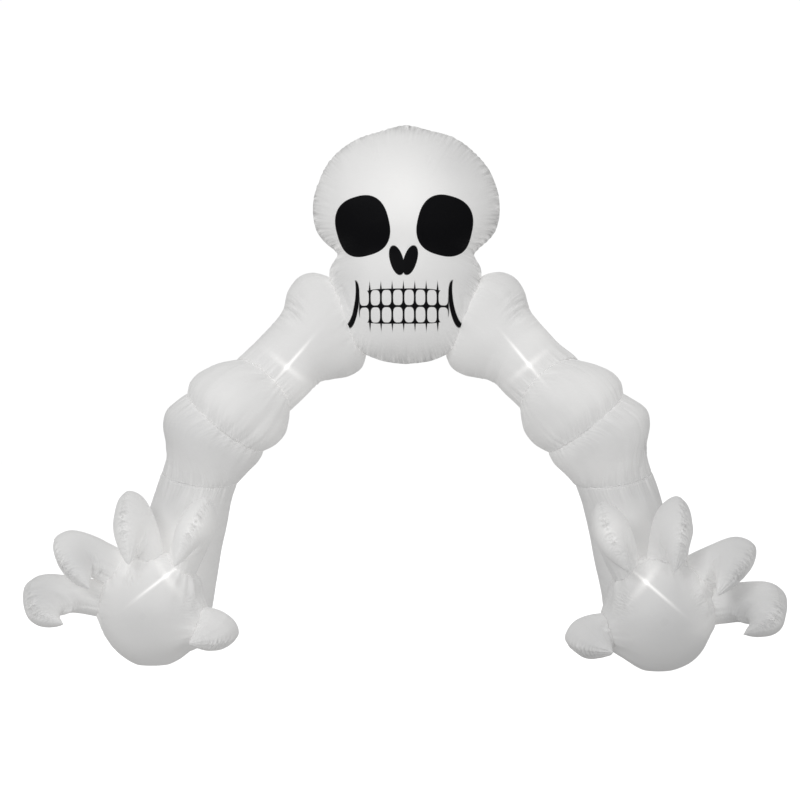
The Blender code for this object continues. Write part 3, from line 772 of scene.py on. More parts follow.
def make_arm_bag(side, bag, frames, material):
    """A tube of cloth, sewn along its outer and inner edge and at the seams that it shares."""
    own = [k for k, row in enumerate(ARM) if row.bag == bag]
    first, last = max(own[0] - 1, 0), min(own[-1] + 1, len(ARM) - 1)
    smooth_step = FOREARM_STEP if bag == "forearm" else ARM_STEP
    grid, middle_line, radius = arm_rings(frames, first, last, smooth_step)

    name = f"{bag}_{side}"
    seed = sum(map(ord, name))
    normal = outwards(grid)
    run = run_along(grid)
    angle = turns(ARM_SIDES)
    round_it = (angle / (2 * math.pi))[None]
    from_outer = np.minimum(angle, 2 * math.pi - angle)
    edge_away = np.minimum(from_outer, math.pi - from_outer)[None] * radius
    height = edge_folds(grid, normal, run, edge_away, seed) + 0.4 * seam_sink(edge_away)

    ring_away = np.full(grid.shape[:2], FAR)
    girth = 2 * math.pi * radius.mean()
    for row, distance, offset in ((first, run, 40), (last, run[-1] - run, 60)):
        if ARM[row].bag == "seam":
            away = np.broadcast_to(distance[:, None], ring_away.shape)
            height += 0.5 * gathers(round_it, girth, away, seed + offset)
            height += 0.6 * seam_sink(away)
            ring_away = np.minimum(ring_away, away)
    if bag == "upper_arm":
        away = abs(skull_squareness(grid) - 1) * 0.38  # about metres from the skull's cloth
        height += 0.6 * gathers(round_it, girth, away, seed + 80)
    height += UNEVENNESS * unevenness(grid, seed) + creases(name, grid)
    if bag == "forearm":
        height *= np.clip(grid[..., 2] / 0.05, 0, 1)  # the foot lies smooth on the ground
    grid = grid + normal * height[..., None]

    along, away = nearer_seam(angle[None] * radius, ring_away, run[:, None], edge_away)
    seam = np.stack([along, away, wrinkles(name, grid)], axis=-1)
    start = middle_line[0]
    if bag == "upper_arm":
        # Inside the skull, the end is drawn out by half the length of the first eight steps.
        start = start + (middle_line[0] - middle_line[8]) / 2
    cloth = tube_cloth(angle, radius, run)
    return sew(name, grid, start, middle_line[-1], seam, cloth, material)


# ---------------------------------------------------------------- the hands
def finger_line(side, finger):
    """A finger's base, knuckle and point in the arch's frame."""
    palm = PALMS[side]
    middle = np.array([palm.x, palm.y, palm.z])
    turned = np.array([-SIDES[side], 1, 1])
    return [middle + np.array(p) * turned for p in (finger.base, finger.knuckle, finger.tip)]


def drawn_out(grid, palm_middle, finger, base, knuckle, seed):
    """Rise of a palm's cloth round one finger: a raised ring about its base, with gathers across it."""
    along = (knuckle - base) / np.linalg.norm(knuckle - base)
    side_way = np.cross(along, [0, -1.0, 0])
    side_way /= np.linalg.norm(side_way)
    x, y = (grid - base) @ side_way, (grid - base) @ np.cross(along, side_way)
    away = abs(np.hypot(x, y) - FOOT_SHARE * finger.half_breadth)
    facing = np.clip(((grid - palm_middle) @ along) / 0.1, 0, 1)
    round_it = (np.arctan2(y, x) / (2 * math.pi)) % 1
    folds = facing * 0.9 * gathers(round_it, 0.6, away, seed)
    return folds + facing * FOOT_RISE * np.exp(-((away / FOOT_HALF_WIDTH) ** 2))


def make_palm(side, material):
    """A ball with a flat spot on the ground; its cloth is drawn out a little round each finger."""
    palm = PALMS[side]
    middle = np.array([palm.x, palm.y, palm.z])
    half = np.array([palm.half_width, palm.half_depth, palm.half_height])

    def reach(ray):
        """The ray's length to the ball, or to the ground where that is nearer."""
        ball = 1 / np.linalg.norm(ray / half, axis=-1)
        down = np.where(ray[..., 2] < -1e-6, middle[2] / np.maximum(-ray[..., 2], 1e-6), FAR)
        return np.minimum(ball, down)

    grid, start, end = polar_grid(middle, PALM_COLUMNS, PALM_ROWS, reach)
    extra = np.zeros(grid.shape[:2])
    for k, finger in enumerate(FINGERS[side]):
        base, knuckle, _ = finger_line(side, finger)
        extra += drawn_out(grid, middle, finger, base, knuckle, 500 + k + len(side))
    extra *= np.clip(grid[..., 2] / 0.06, 0, 1)
    strength = 0.35 * np.clip(grid[..., 2] / 0.1, 0, 1)
    return two_panels(
        f"palm_{side}", middle, grid, start, end, strength, GATHERS, material, extra
    )


def finger_edges(finger, length, tip):
    """Outer edge, inner edge, half breadth and share of the bow of each section of a finger.

    They lie in its own plane, whose first axis runs from the base to the knuckle, and the second to
    where the claw bends.
    """
    thick = finger.half_thickness
    along, bend = np.array([1.0, 0.0]), np.array([0.0, 1.0])
    knuckle = along * length
    claw_length = np.linalg.norm(tip - knuckle)
    claw = (tip - knuckle) / claw_length
    out_of_claw = np.array([claw[1], -claw[0]])
    turn = math.atan2(out_of_claw[0], -out_of_claw[1])
    crease = knuckle + (bend - out_of_claw) * thick / (1 - bend @ out_of_claw)
    pocket = knuckle + (crease - knuckle) * CREASE_DEPTH
    palm_edge = bend * thick
    outer, inner, breadth, bow = [], [], [], []
    for row in FINGER_ROWS:
        share = 1.0
        if row.part == "stem":
            outer.append(knuckle * row.share - bend * thick * row.out)
            share -= (1.0 - finger.palm_share) * (1.0 - row.share)
        elif row.part == "turn":
            angle = turn * row.share
            outer.append(knuckle + thick * row.out * (along * math.sin(angle) - bend * math.cos(angle)))
        else:
            outer.append(knuckle + claw * claw_length * row.share + out_of_claw * thick * row.out)
        if row.part == "claw":
            inner.append(pocket + (tip - pocket) * row.inner)
        else:
            inner.append(palm_edge + (crease - palm_edge) * row.inner)
        breadth.append([finger.half_breadth * row.breadth * share])
        bow.append([row.bow])
    return np.hstack([outer, inner, breadth, bow])


# A finger's cloth: each ring's middle and its two half vectors, the angles of its points, and the grid.
Tube = namedtuple("Tube", "centre half wide section grid")


def set_aside(grid, tube):
    """Moves what of a bag is inside the finger beside it out to that finger's cloth, a millimetre clear.

    Each point belongs between two sections of the neighbour, where it changes from before to behind them.
    Its direction from their middle gives the place on the neighbour's cloth, and it moves out along that.
    """
    points = grid.reshape(-1, 3)
    normal = np.cross(tube.half, tube.wide)
    normal /= np.linalg.norm(normal, axis=1)[:, None]
    ahead = points @ normal.T - (tube.centre * normal).sum(axis=1)
    far = np.sqrt(((points[:, None] - tube.centre[None]) ** 2).sum(axis=2))
    between = ahead[:, :-1] * ahead[:, 1:] <= 0
    away = np.where(between, far[:, :-1] + far[:, 1:], FAR)
    row = away.argmin(axis=1)
    each = np.arange(len(points))
    beside = away[each, row] < FAR
    before, behind = ahead[each, row], ahead[each, row + 1]
    share = (before / np.where(before == behind, 1, before - behind))[:, None]
    centre, half, wide = (part[row] * (1 - share) + part[row + 1] * share for part in tube[:3])
    off = points - centre
    across_it, through_it = ((off * vector).sum(axis=1) / (vector**2).sum(axis=1) for vector in (wide, half))
    turn = np.arctan2(across_it, through_it)
    sides = tube.grid.shape[1]
    column = np.interp(turn % (2 * math.pi), np.append(tube.section, 2 * math.pi), np.arange(sides + 1))
    left = column.astype(int) % sides
    across = (column - column.astype(int))[:, None]
    right = (left + 1) % sides
    cloth = (tube.grid[row, left] * (1 - across) + tube.grid[row, right] * across) * (1 - share)
    cloth += (tube.grid[row + 1, left] * (1 - across) + tube.grid[row + 1, right] * across) * share
    reach = np.linalg.norm(cloth - centre, axis=1) + GAP
    length = np.linalg.norm(off, axis=1)
    inside = beside & (length < reach) & (length > 1e-6)
    moved = centre + off * (reach / np.maximum(length, 1e-6))[:, None]
    return np.where(inside[:, None], moved, points).reshape(grid.shape)


def finger_rings(side, finger):
    """Rings between an outer and an inner edge, which bend together at the knuckle, as a tube.

    A ring is centre + cos a * half + sin a ** (2 / fullness) * wide, pointed at its two seams. With
    them come the rings' mean radii and the claw's length.
    """
    base, knuckle, tip = finger_line(side, finger)
    length = np.linalg.norm(knuckle - base)
    along = (knuckle - base) / length
    bend = (tip - base) - np.dot(tip - base, along) * along
    bend_reach = np.linalg.norm(bend)
    bend /= bend_reach
    flat_tip = np.array([np.dot(tip - base, along), bend_reach])
    claw_length = np.linalg.norm(tip - knuckle)
    rows = smooth_rows(finger_edges(finger, length, flat_tip), 24)
    to_tip = np.array([*flat_tip, *flat_tip, 0, 0]) - rows[-1]
    rows = np.vstack([rows[:-1], rows[-1] + to_tip * np.array([[0], [0.35], [0.65], [0.88]])])
    steps = np.linalg.norm(np.diff((rows[:, :2] * 2 + rows[:, 2:4]) / 3, axis=0), axis=1)

    def spacing(run):
        """Coarse on the stem, fine on the knuckle and the claw."""
        from_tip = steps.sum() - run
        return CLAW_STEP + (STEM_STEP - CLAW_STEP) * np.clip((from_tip - claw_length) / 0.05, 0, 1)

    rows = respaced(rows, steps, spacing)
    into_palm = np.zeros((12, 6))
    into_palm[:, [0, 2]] = -0.012 * np.arange(12, 0, -1)[:, None]
    rows = np.vstack([rows[0] + into_palm, rows])
    bow = np.array(finger.bow) * [-SIDES[side], 1, 1] * rows[:, 5:6]
    outside = base + rows[:, :1] * along + rows[:, 1:2] * bend + bow
    inside = base + rows[:, 2:3] * along + rows[:, 3:4] * bend + bow
    centre, half = (outside + inside) / 2, (outside - inside) / 2
    wide = np.cross(along, bend) * rows[:, 4:5]
    angle = turns(FINGER_SIDES)
    c, s = np.cos(angle), np.sin(angle)
    s = np.sign(s) * abs(s) ** (2 / FINGER_FULLNESS)
    grid = centre[:, None] + c[None, :, None] * half[:, None] + s[None, :, None] * wide[:, None]
    radius = (np.linalg.norm(half, axis=1) + rows[:, 4])[:, None] / 2
    return Tube(centre, half, wide, np.arctan2(s, c) % (2 * math.pi), grid), radius, claw_length


def finger_folds(seed, run, on_claw, outer_away, inner_away, other_half):
    """Sunk front and back seam of a finger, with gathers beside both, slanting at the front one.

    The claw's front seam has puckers too, other ones on each of its sides.
    """
    length = run[-1]
    at_claw = np.exp(-(((on_claw - 0.45) / 0.32) ** 2))[:, None]
    at_crease = np.exp(-(((on_claw - 0.05) / 0.30) ** 2))[:, None]
    slanted = (run[:, None] + 0.5 * outer_away) / length
    one_half, rest = (puckers(slanted, length, outer_away, seed + k) for k in (90, 95))
    height = np.where(other_half, one_half, rest) * at_claw
    height += (0.20 + 0.25 * at_claw) * gathers(slanted, length, outer_away * 1.8, seed)
    height += (0.15 + 0.2 * at_crease) * gathers((run / length)[:, None], length, inner_away * 1.4, seed + 20)
    height += 0.12 * seam_sink(outer_away) + 0.3 * seam_sink(inner_away)
    return height


def make_finger(side, finger, palm_reach, beside, material):
    """A bent bag that ends in a claw, clear of the finger beside it and laid on the palm."""
    palm = PALMS[side]
    palm_middle = np.array([palm.x, palm.y, palm.z])
    tube, radius, claw_length = finger_rings(side, finger)
    grid = tube.grid

    name = f"{finger.name}_{side}"
    seed = sum(map(ord, name))
    run = run_along(grid)
    angle = turns(FINGER_SIDES)
    front = math.radians(finger.seam_turn) * -SIDES[side]
    off_front = abs((angle - front + math.pi) % (2 * math.pi) - math.pi)[None]
    off_back = (math.pi - np.minimum(angle, 2 * math.pi - angle))[None]
    outer_away, inner_away = off_front * radius, off_back * radius
    ball = (grid - palm_middle) / [palm.half_width, palm.half_depth, palm.half_height]
    palm_away = abs(np.linalg.norm(ball, axis=-1) - 1) * palm.half_width
    on_claw = 1 - (run[-1] - run) / claw_length  # 0 at the knuckle, 1 at the claw's point

    other_half = (np.sin(angle - front) > 0)[None]
    height = finger_folds(seed, run, on_claw, outer_away, inner_away, other_half)
    round_it = (angle / (2 * math.pi))[None]
    height += 0.6 * gathers(round_it, 0.6, palm_away, seed + 40) + 0.7 * seam_sink(palm_away)
    height += 0.6 * UNEVENNESS * unevenness(grid * 1.6, seed)
    height *= np.clip((1 - on_claw) / 0.10, 0, 1)[:, None]
    height += creases(name, grid)
    grid = grid + outwards(grid) * height[..., None]
    if beside is not None:
        grid = set_aside(grid, beside)
    tube = tube._replace(grid=grid)
    grid, start = laid_on(grid, palm_middle, palm_reach)

    long_away = np.minimum(outer_away, inner_away)
    along, away = nearer_seam(angle[None] * radius, palm_away, run[:, None], long_away)
    # Wrinkles lie thick along the claw's front seam.
    wrinkled = np.exp(-((outer_away / 0.036) ** 2)) * np.exp(-(((on_claw - 0.42) / 0.30) ** 4))[:, None]
    seam = np.stack([along, away, wrinkled], axis=-1)
    tip = finger_line(side, finger)[2]
    piece = sew(name, grid, start, tip, seam, tube_cloth(angle, radius, run), material)
    return piece, tube


# ---------------------------------------------------------------- materials
class Sum:
    """A number inside a material. Every sum done with it adds one Math node."""

    def __init__(self, tree, socket):
        self.tree, self.socket = tree, socket

    def by(self, operation, *others):
        """The outcome of an operation with other numbers."""
        node = self.tree.nodes.new("ShaderNodeMath")
        node.operation = operation
        for slot, value in zip(node.inputs, (self, *others)):
            if isinstance(value, Sum):
                self.tree.links.new(value.socket, slot)
            else:
                slot.default_value = value
        return Sum(self.tree, node.outputs[0])

    def __add__(self, other):
        return self.by("ADD", other)

    def __sub__(self, other):
        return self.by("SUBTRACT", other)

    def __mul__(self, other):
        return self.by("MULTIPLY", other)

    def __truediv__(self, other):
        return self.by("DIVIDE", other)

    def __pow__(self, other):
        return self.by("POWER", other)

    def __abs__(self):
        return self.by("ABSOLUTE")

    def least(self, other):
        """The lower of two numbers."""
        return self.by("MINIMUM", other)

    def most(self, other):
        """The higher of two numbers."""
        return self.by("MAXIMUM", other)

    def inverted(self):
        """1 less the number."""
        return (self * -1.0) + 1.0

    def bell(self, width):
        """exp(-(x / width)^2)"""
        return ((self / width) ** 2.0 * -1.0).by("EXPONENT")

    def clamped(self):
        """The number, kept from 0 to 1."""
        return self.most(0.0).least(1.0)

    def fraction(self):
        """How far the number is past the whole number below it."""
        return self - self.by("FLOOR")

    def step(self, softness):
        """1 where the number is below 0, 0 where it is above, over a soft edge."""
        return ((self / softness) * -0.5 + 0.5).clamped()


def node(tree, kind, **settings):
    """A new node of a kind, with its settings."""
    made = tree.nodes.new(kind)
    for key, value in settings.items():
        setattr(made, key, value)
    return made


def split(tree, vector):
    """A vector's three numbers."""
    parts = node(tree, "ShaderNodeSeparateXYZ")
    tree.links.new(vector, parts.inputs[0])
    return [Sum(tree, out) for out in parts.outputs]


def noise(tree, place, scale, detail=2.0):
    """Smooth noise about 0.5."""
    made = node(tree, "ShaderNodeTexNoise")
    made.inputs["Scale"].default_value = scale
    made.inputs["Detail"].default_value = detail
    tree.links.new(place, made.inputs["Vector"])
    return Sum(tree, made.outputs["Fac"])


# The printed face: each hollow is a superellipse, leaning by an angle. All are mirrored about x = 0.
Hollow = namedtuple("Hollow", "x z half_width half_height power lean")
EYE = Hollow(0.208, 2.205, 0.138, 0.150, 2.5, -14)
NOSE = Hollow(0.034, 2.030, 0.034, 0.078, 2.1, -16)
CHEEK = Hollow(0.262, 1.815, 0.034, 0.120, 2.0, 8)
CHEEK_BITE = Hollow(0.284, 1.840, 0.036, 0.124, 2.0, 8)
MOUTH = Hollow(0.0, 1.800, 0.228, 0.088, 4.5, 0)
TOOTH_PITCH, TOOTH_GAP, TOOTH_HEIGHT, TOOTH_CORNER = 0.057, 0.010, 0.076, 3.2
BITE_HEIGHT = 1.800
ROOT_TOP, ROOT_HALF_WIDTH, ROOTS_REACH = 0.052, 0.0060, 0.2
INK_EDGE = 0.0012
PRINT_DEPTH = 0.05  # the print ends this far back


def hollow(x, z, shape):
    """Below 0 inside a leaning superellipse, above 0 outside, about in metres."""
    c, s = math.cos(math.radians(shape.lean)), math.sin(math.radians(shape.lean))
    away_x, away_z = x - shape.x, z - shape.z
    u = abs(away_x * c + away_z * s) / shape.half_width
    v = abs(away_z * c - away_x * s) / shape.half_height
    share = (u**shape.power + v**shape.power) ** (1 / shape.power)
    return (share - 1.0) * min(shape.half_width, shape.half_height)


def face_print(x, y, z):
    """1 on the printed hollows of a plain skull face, 0 on bare cloth, on the front of the skull alone."""
    mirrored = abs(x)
    eye, nose = hollow(mirrored, z, EYE), hollow(mirrored, z, NOSE)
    cheek = hollow(mirrored, z, CHEEK).most(hollow(mirrored, z, CHEEK_BITE) * -1.0)
    # Teeth: the mouth is black but for one rounded tooth in each cell of two rows.
    cell = abs((x / TOOTH_PITCH).fraction() - 0.5) * TOOTH_PITCH
    row = abs(abs(z - BITE_HEIGHT) - (TOOTH_HEIGHT + TOOTH_GAP) / 2)
    tooth_u, tooth_v = cell / ((TOOTH_PITCH - TOOTH_GAP) / 2), row / (TOOTH_HEIGHT / 2)
    tooth = ((tooth_u**TOOTH_CORNER + tooth_v**TOOTH_CORNER) ** (1 / TOOTH_CORNER) - 1.0) * (TOOTH_PITCH / 2)
    mouth = hollow(mirrored, z, MOUTH)
    teeth = mouth.most(tooth * -1.0)
    # Short darts run up and down from the gaps between the teeth.
    gap = (cell * -1.0) + TOOTH_PITCH / 2
    beyond = abs(z - BITE_HEIGHT) - TOOTH_HEIGHT
    dart = gap + beyond / ROOT_TOP * ROOT_HALF_WIDTH - ROOT_HALF_WIDTH
    dart = dart.most(beyond * -1.0).most(mirrored - ROOTS_REACH)
    ink = eye.least(nose).least(cheek).least(teeth).least(dart)
    return ink.step(INK_EDGE) * (y - PRINT_DEPTH).step(0.001)


# Each cloth's brightness: one white cloth, drawn greyer on the arms and greyer still on the hands as
# painted shade. Then the even glow painted into it all over, partly the lamps inside and partly
# painted light that lifts its shaded hollows; how high and how far fine pleats run square to a seam,
# their light and shade painted into the colour and the glow; how much lighter (or, below 0, darker)
# it is beside a seam, painted shade along the skull's outline; and where it is doubled, painted
# shade on the skull's seam allowance and a painted highlight on the arms'. The last three are its
# wrinkles' height, their shade painted in too, and how many come on a metre along the seam and on a
# metre square to it.
Cloth = namedtuple("Cloth", "white inner_light pleat pleat_reach rim doubled wrinkle across down")
CLOTHS = {
    "skull_cloth": Cloth(0.88, 0.16, 0.0360, 0.150, -0.09, -0.02, 0.0, 60.0, 10.0),
    "arm_cloth": Cloth(0.86, 0.18, 0.0060, 0.090, 0.0, 0.05, 0.0150, 58.0, 7.0),
    "hand_cloth": Cloth(0.82, 0.17, 0.0040, 0.060, 0.0, 0.0, 0.0140, 100.0, 26.0),
}
HEAVY_THREAD, FINE_THREAD = 0.006, 0.0013  # their spacings in the weave
ALLOWANCE, ALLOWANCE_EDGE = 0.011, 0.0015  # width of the doubled cloth beside a seam, and of its soft edge
STITCH_ROW, STITCH_HALF_WIDTH, STITCH_LENGTH, STITCH_SHARE = 0.0045, 0.0008, 0.0042, 0.62
RIM_REACH = 0.070  # how far the lighter or darker cloth beside a seam reaches

# What each kind of detail adds to the cloth's height, in metres, and to its shade.
Detail = namedtuple("Detail", "weave heavy_thread crinkle fine gather allowance stitch")
HEIGHTS = Detail(0.00003, 0.00010, 0.0011, 0.0022, 0.00045, 0.0005, 0.0004)
# The stitches' darker dashes are painted shade; the heavy threads, clouds and fine noise are the cloth's own
# tone.
HEAVY_SHADE, CLOUD_SHADE, STITCH_SHADE, FINE_SHADE = -0.025, 0.05, -0.16, 0.03
INK = (0.006, 0.006, 0.007, 1.0)
# The colour of all the light painted into the cloth's glow.
LAMP_COLOUR = (1.0, 0.985, 0.96, 1.0)
SHEEN, SPECULAR, INK_SPECULAR = 0.15, 0.4, 0.05


def threads(t, spacing):
    """Ridges at even spacing: 1 on a thread, 0 between two."""
    return (abs((t / spacing).fraction() - 0.5) * 2.0) ** 6.0


def strokes(tree, along, away, across, down):
    """Noise about 0, drawn out square to the seam."""
    beside = node(tree, "ShaderNodeCombineXYZ")
    tree.links.new((along * across).socket, beside.inputs[0])
    tree.links.new((away * down).socket, beside.inputs[1])
    return noise(tree, beside.outputs[0], 1.0, 2.0) - 0.5


def lamp_light(streak, cross):
    """Painted light of a lamp behind the cloth: its long streak, short streak, spot and haze, each by its
    share.
    """
    spot = (streak**2.0 + cross**2.0) ** 0.5
    return (
        (streak - STREAK_SHIFT).bell(STREAK_LENGTH) * cross.bell(STREAK_HALF_WIDTH) * STREAK_SHARE
        + cross.bell(CROSS_LENGTH) * streak.bell(CROSS_HALF_WIDTH) * CROSS_SHARE
        + spot.bell(SPOT_SIZE) * SPOT_SHARE
        + spot.bell(HAZE_SIZE) * HAZE_SHARE
    )


def placed_light(name, x, z):
    """Painted light and shade: what the places in the table add to a cloth's glow, change times
    exp(-(distance / reach)^2).
    """
    added = []
    for place in GLOWS:
        if place.slot == name:
            away = ((x - place.x) ** 2.0 + (z - place.z) ** 2.0).by("SQRT")
            added.append(away.bell(place.reach) * place.change)
    return sum(added[1:], added[0])


def dimmed(x, z):
    """Painted shade: how much less glow the right foot and hand get, and the outer part of both elbows, so
    that they look more weakly lit.
    """
    right, low = ((x - 0.7) / 0.2).clamped(), ((z * -1.0 + 1.0) / 0.15).clamped()
    outer = ((abs(x) - 0.85) / 0.2).clamped()
    return right * low * 0.07 + (z - 1.17).bell(0.13) * outer * 0.08


def grey_mix(tree, white, shade):
    """A white, multiplied by a shade."""
    tint = node(tree, "ShaderNodeMix", data_type="RGBA", blend_type="MULTIPLY")
    tint.inputs["Factor"].default_value = 1.0
    tint.inputs["A"].default_value = (white, white, white, 1.0)
    grey = node(tree, "ShaderNodeCombineXYZ")
    for slot in grey.inputs:
        tree.links.new(shade.socket, slot)
    tree.links.new(grey.outputs[0], tint.inputs["B"])
    return tint.outputs["Result"]


def inked(tree, shader, surface, ink):
    """A surface with the print's black on it, which has no sheen and hardly a highlight."""
    black = node(tree, "ShaderNodeMix", data_type="RGBA")
    black.inputs["B"].default_value = INK
    tree.links.new(ink.socket, black.inputs["Factor"])
    tree.links.new(surface, black.inputs["A"])
    tree.links.new((ink.inverted() * SHEEN).socket, shader.inputs["Sheen Weight"])
    highlight = ink.inverted() * (SPECULAR - INK_SPECULAR) + INK_SPECULAR
    tree.links.new(highlight.socket, shader.inputs["Specular IOR Level"])
    return black.outputs["Result"]


def cloth_material(name, printed=False):
    """White ripstop: a fine weave with a heavier thread every 6 mm, doubled and stitched at the seams, with
    painted light and shade in its colour and glow.
    """
    kind = CLOTHS[name]
    made = bpy.data.materials.new(name)
    made.use_nodes = True
    tree = made.node_tree
    shader = tree.nodes["Principled BSDF"]
    place = node(tree, "ShaderNodeTexCoord").outputs["Object"]
    flat = node(tree, "ShaderNodeUVMap", uv_map="cloth").outputs["UV"]
    seam = node(tree, "ShaderNodeAttribute", attribute_name="seam").outputs["Vector"]
    lamp = node(tree, "ShaderNodeAttribute", attribute_name="lamp").outputs["Vector"]
    x, y, z = split(tree, place)
    u, v, _ = split(tree, flat)
    along, away, wrinkled = split(tree, seam)
    streak, cross, near = split(tree, lamp)

    grid = threads(u, HEAVY_THREAD).most(threads(v, HEAVY_THREAD))
    weave = (u * (2 * math.pi / FINE_THREAD)).by("SINE") * (v * (2 * math.pi / FINE_THREAD)).by("SINE")
    clouds = noise(tree, place, 2.6)
    crinkle = noise(tree, place, 34.0, 4.0)
    fine = noise(tree, place, 11.0, 3.0)

    # Doubled cloth of the seam allowance, and its row of stitches. The allowance is painted darker on
    # the skull as painted shade and lighter on the arms as a painted highlight; the stitches are drawn
    # darker as painted shade.
    allowance = (away - ALLOWANCE).step(ALLOWANCE_EDGE)
    stitch_row = (abs(away - STITCH_ROW) - STITCH_HALF_WIDTH).step(0.0004)
    stitch = stitch_row * ((along / STITCH_LENGTH).fraction() - STITCH_SHARE).step(0.05)

    # Long pleats and short wrinkles run square to the seams. Their light and shade are painted into the
    # colour and the glow, and the cloth beside the skull's seam, round its outline, is painted darker.
    pleats = strokes(tree, along, away, 62.0, 5.0) * away.bell(kind.pleat_reach) * away.bell(0.008).inverted()
    crumples = strokes(tree, along, away, kind.across, kind.down) * wrinkled
    painted_fold_and_rim_shade = pleats * (kind.pleat * 50) + crumples * (kind.wrinkle * 60) + away.bell(RIM_REACH) * kind.rim

    shade = painted_fold_and_rim_shade + (grid * HEAVY_SHADE) + (clouds - 0.5) * CLOUD_SHADE + (allowance * kind.doubled)
    shade = shade + (stitch * STITCH_SHADE) + (fine - 0.5) * FINE_SHADE + 1.0
    surface = grey_mix(tree, kind.white, shade)

    # Painted light and shade in the glow: the lamps' streaks and spots, the table's places, an even glow all
    # over, less glow on the right foot and hand and outside both elbows, and the folds' painted shade.
    placed = placed_light(name, x, z)
    if printed:
        placed = placed * (y - 0.2).step(0.15)
    light = lamp_light(streak, cross) * near * LAMP_STRENGTH + placed + kind.inner_light - dimmed(x, z)
    glow = light.most(0.0) * (painted_fold_and_rim_shade + 1.0)
    if printed:
        ink = face_print(x, y, z)
        surface = inked(tree, shader, surface, ink)
        glow = glow * ink.inverted()
    else:
        shader.inputs["Sheen Weight"].default_value = SHEEN
        shader.inputs["Specular IOR Level"].default_value = SPECULAR
    tree.links.new(surface, shader.inputs["Base Color"])

    rough = (fine - 0.5) * 0.12 + (grid * -0.04) + 0.50
    tree.links.new(rough.socket, shader.inputs["Roughness"])
    shader.inputs["Sheen Roughness"].default_value = 0.4
    shader.inputs["Emission Color"].default_value = LAMP_COLOUR
    tree.links.new(glow.socket, shader.inputs["Emission Strength"])

    # The heights of the weave, heavy threads, crinkles, small gathers at the seams, and stitches.
    gather = (along * (2 * math.pi / 0.012) + crinkle * 9.0).by("SINE") * away.bell(0.030)
    relief = weave * HEIGHTS.weave + grid * HEIGHTS.heavy_thread + crinkle * HEIGHTS.crinkle
    relief = relief + fine * HEIGHTS.fine + gather * HEIGHTS.gather
    relief = relief + pleats * (kind.pleat * 0.6) + crumples * (kind.wrinkle * 0.8)
    relief = relief + allowance * HEIGHTS.allowance + stitch * HEIGHTS.stitch
    bump = node(tree, "ShaderNodeBump")
    bump.inputs["Strength"].default_value = 1.0
    bump.inputs["Distance"].default_value = 1.0
    tree.links.new(relief.socket, bump.inputs["Height"])
    tree.links.new(bump.outputs["Normal"], shader.inputs["Normal"])
    return made


# ---------------------------------------------------------------- studio
Light = namedtuple("Light", "name place aim size power")
LIGHTS = [
    Light("key", (-3.4, -7.6, 4.4), (0, 0, 1.4), (3.5, 2.5), 152),
    Light("fill", (4.0, -7.6, 2.4), (0, 0, 1.4), (2.5, 2.5), 52),
    Light("top", (-1.5, -2.5, 6.5), (0, 0, 1.0), (6.0, 4.0), 15),
    Light("back", (0.0, 8.0, 4.5), (0, 0, 1.4), (6.0, 3.0), 20),
]
AMBIENT, AMBIENT_RISE, SURROUND = 0.362, 0.05, 1.02  # the world's light on the arch, and what the camera sees
FLOOR_REACH, FLOOR_WHITE, FLOOR_GLOW = 60.0, 0.75, 0.85


def add_light(light):
    """A rectangular lamp, turned towards its aim."""
    lamp = bpy.data.lights.new(light.name, "AREA")
    lamp.shape = "RECTANGLE"
    lamp.size, lamp.size_y = light.size
    lamp.energy = light.power
    made = bpy.data.objects.new(light.name, lamp)
    made.location = light.place
    made.rotation_euler = (Vector(light.aim) - Vector(light.place)).to_track_quat("-Z", "Y").to_euler()
    bpy.context.scene.collection.objects.link(made)


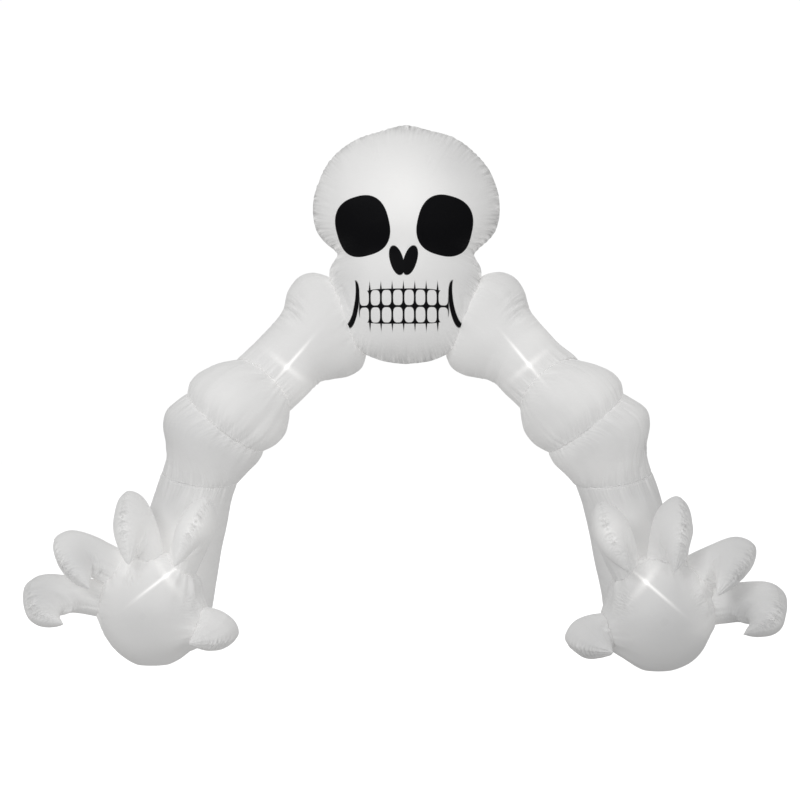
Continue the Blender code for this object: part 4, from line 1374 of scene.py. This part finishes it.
def add_surround():
    """A white world for the camera, and a weaker, nearly even light on the arch."""
    scene = bpy.context.scene
    scene.view_settings.view_transform = "Standard"
    world = bpy.data.worlds.new("surround")
    scene.world = world
    world.use_nodes = True
    tree = world.node_tree
    ground = tree.nodes["Background"]
    height = split(tree, node(tree, "ShaderNodeTexCoord").outputs["Generated"])[2]
    ambient = height * AMBIENT_RISE + AMBIENT
    seen = Sum(tree, node(tree, "ShaderNodeLightPath").outputs["Is Camera Ray"])
    brightness = seen * SURROUND + seen.inverted() * ambient
    tree.links.new(brightness.socket, ground.inputs["Strength"])
    ground.inputs["Color"].default_value = (1, 1, 1, 1)


def add_floor():
    """A wide pale floor, which throws no light back on the arch."""
    mesh = bpy.data.meshes.new("floor")
    corners = [(x * FLOOR_REACH, y * FLOOR_REACH, 0) for x, y in ((-1, -1), (1, -1), (1, 1), (-1, 1))]
    mesh.from_pydata(corners, [], [(0, 1, 2, 3)])
    pale = bpy.data.materials.new("pale_floor")
    pale.use_nodes = True
    shader = pale.node_tree.nodes["Principled BSDF"]
    shader.inputs["Base Color"].default_value = (FLOOR_WHITE, FLOOR_WHITE, FLOOR_WHITE, 1)
    shader.inputs["Roughness"].default_value = 0.9
    shader.inputs["Specular IOR Level"].default_value = 0.0
    shader.inputs["Emission Color"].default_value = (1, 1, 1, 1)
    shader.inputs["Emission Strength"].default_value = FLOOR_GLOW
    mesh.materials.append(pale)
    floor = bpy.data.objects.new("floor", mesh)
    floor.visible_diffuse = False
    floor.visible_glossy = False
    bpy.context.scene.collection.objects.link(floor)


def add_studio():
    """Large soft lights, the main one to the left of the camera, in a white surround."""
    add_surround()
    for light in LIGHTS:
        add_light(light)
    add_floor()


# ---------------------------------------------------------------- the whole arch
def main():
    """Every bag, each fitted to its neighbours, and the studio round them."""
    skull_cloth = cloth_material("skull_cloth", printed=True)
    arm_cloth = cloth_material("arm_cloth")
    hand_cloth = cloth_material("hand_cloth")
    skull, _ = make_skull(skull_cloth)
    for side in SIDES:
        frames = arm_frames(side)
        arm = {bag: make_arm_bag(side, bag, frames, arm_cloth) for bag in ARM_BAGS}
        fitted(arm["upper_arm"], [skull])
        palm, palm_reach = make_palm(side, hand_cloth)
        fitted(palm, [arm["forearm"]])
        beside = None
        for finger in FINGERS[side]:
            piece, beside = make_finger(side, finger, palm_reach, beside, hand_cloth)
            fitted(piece, [palm])
    add_studio()


main()
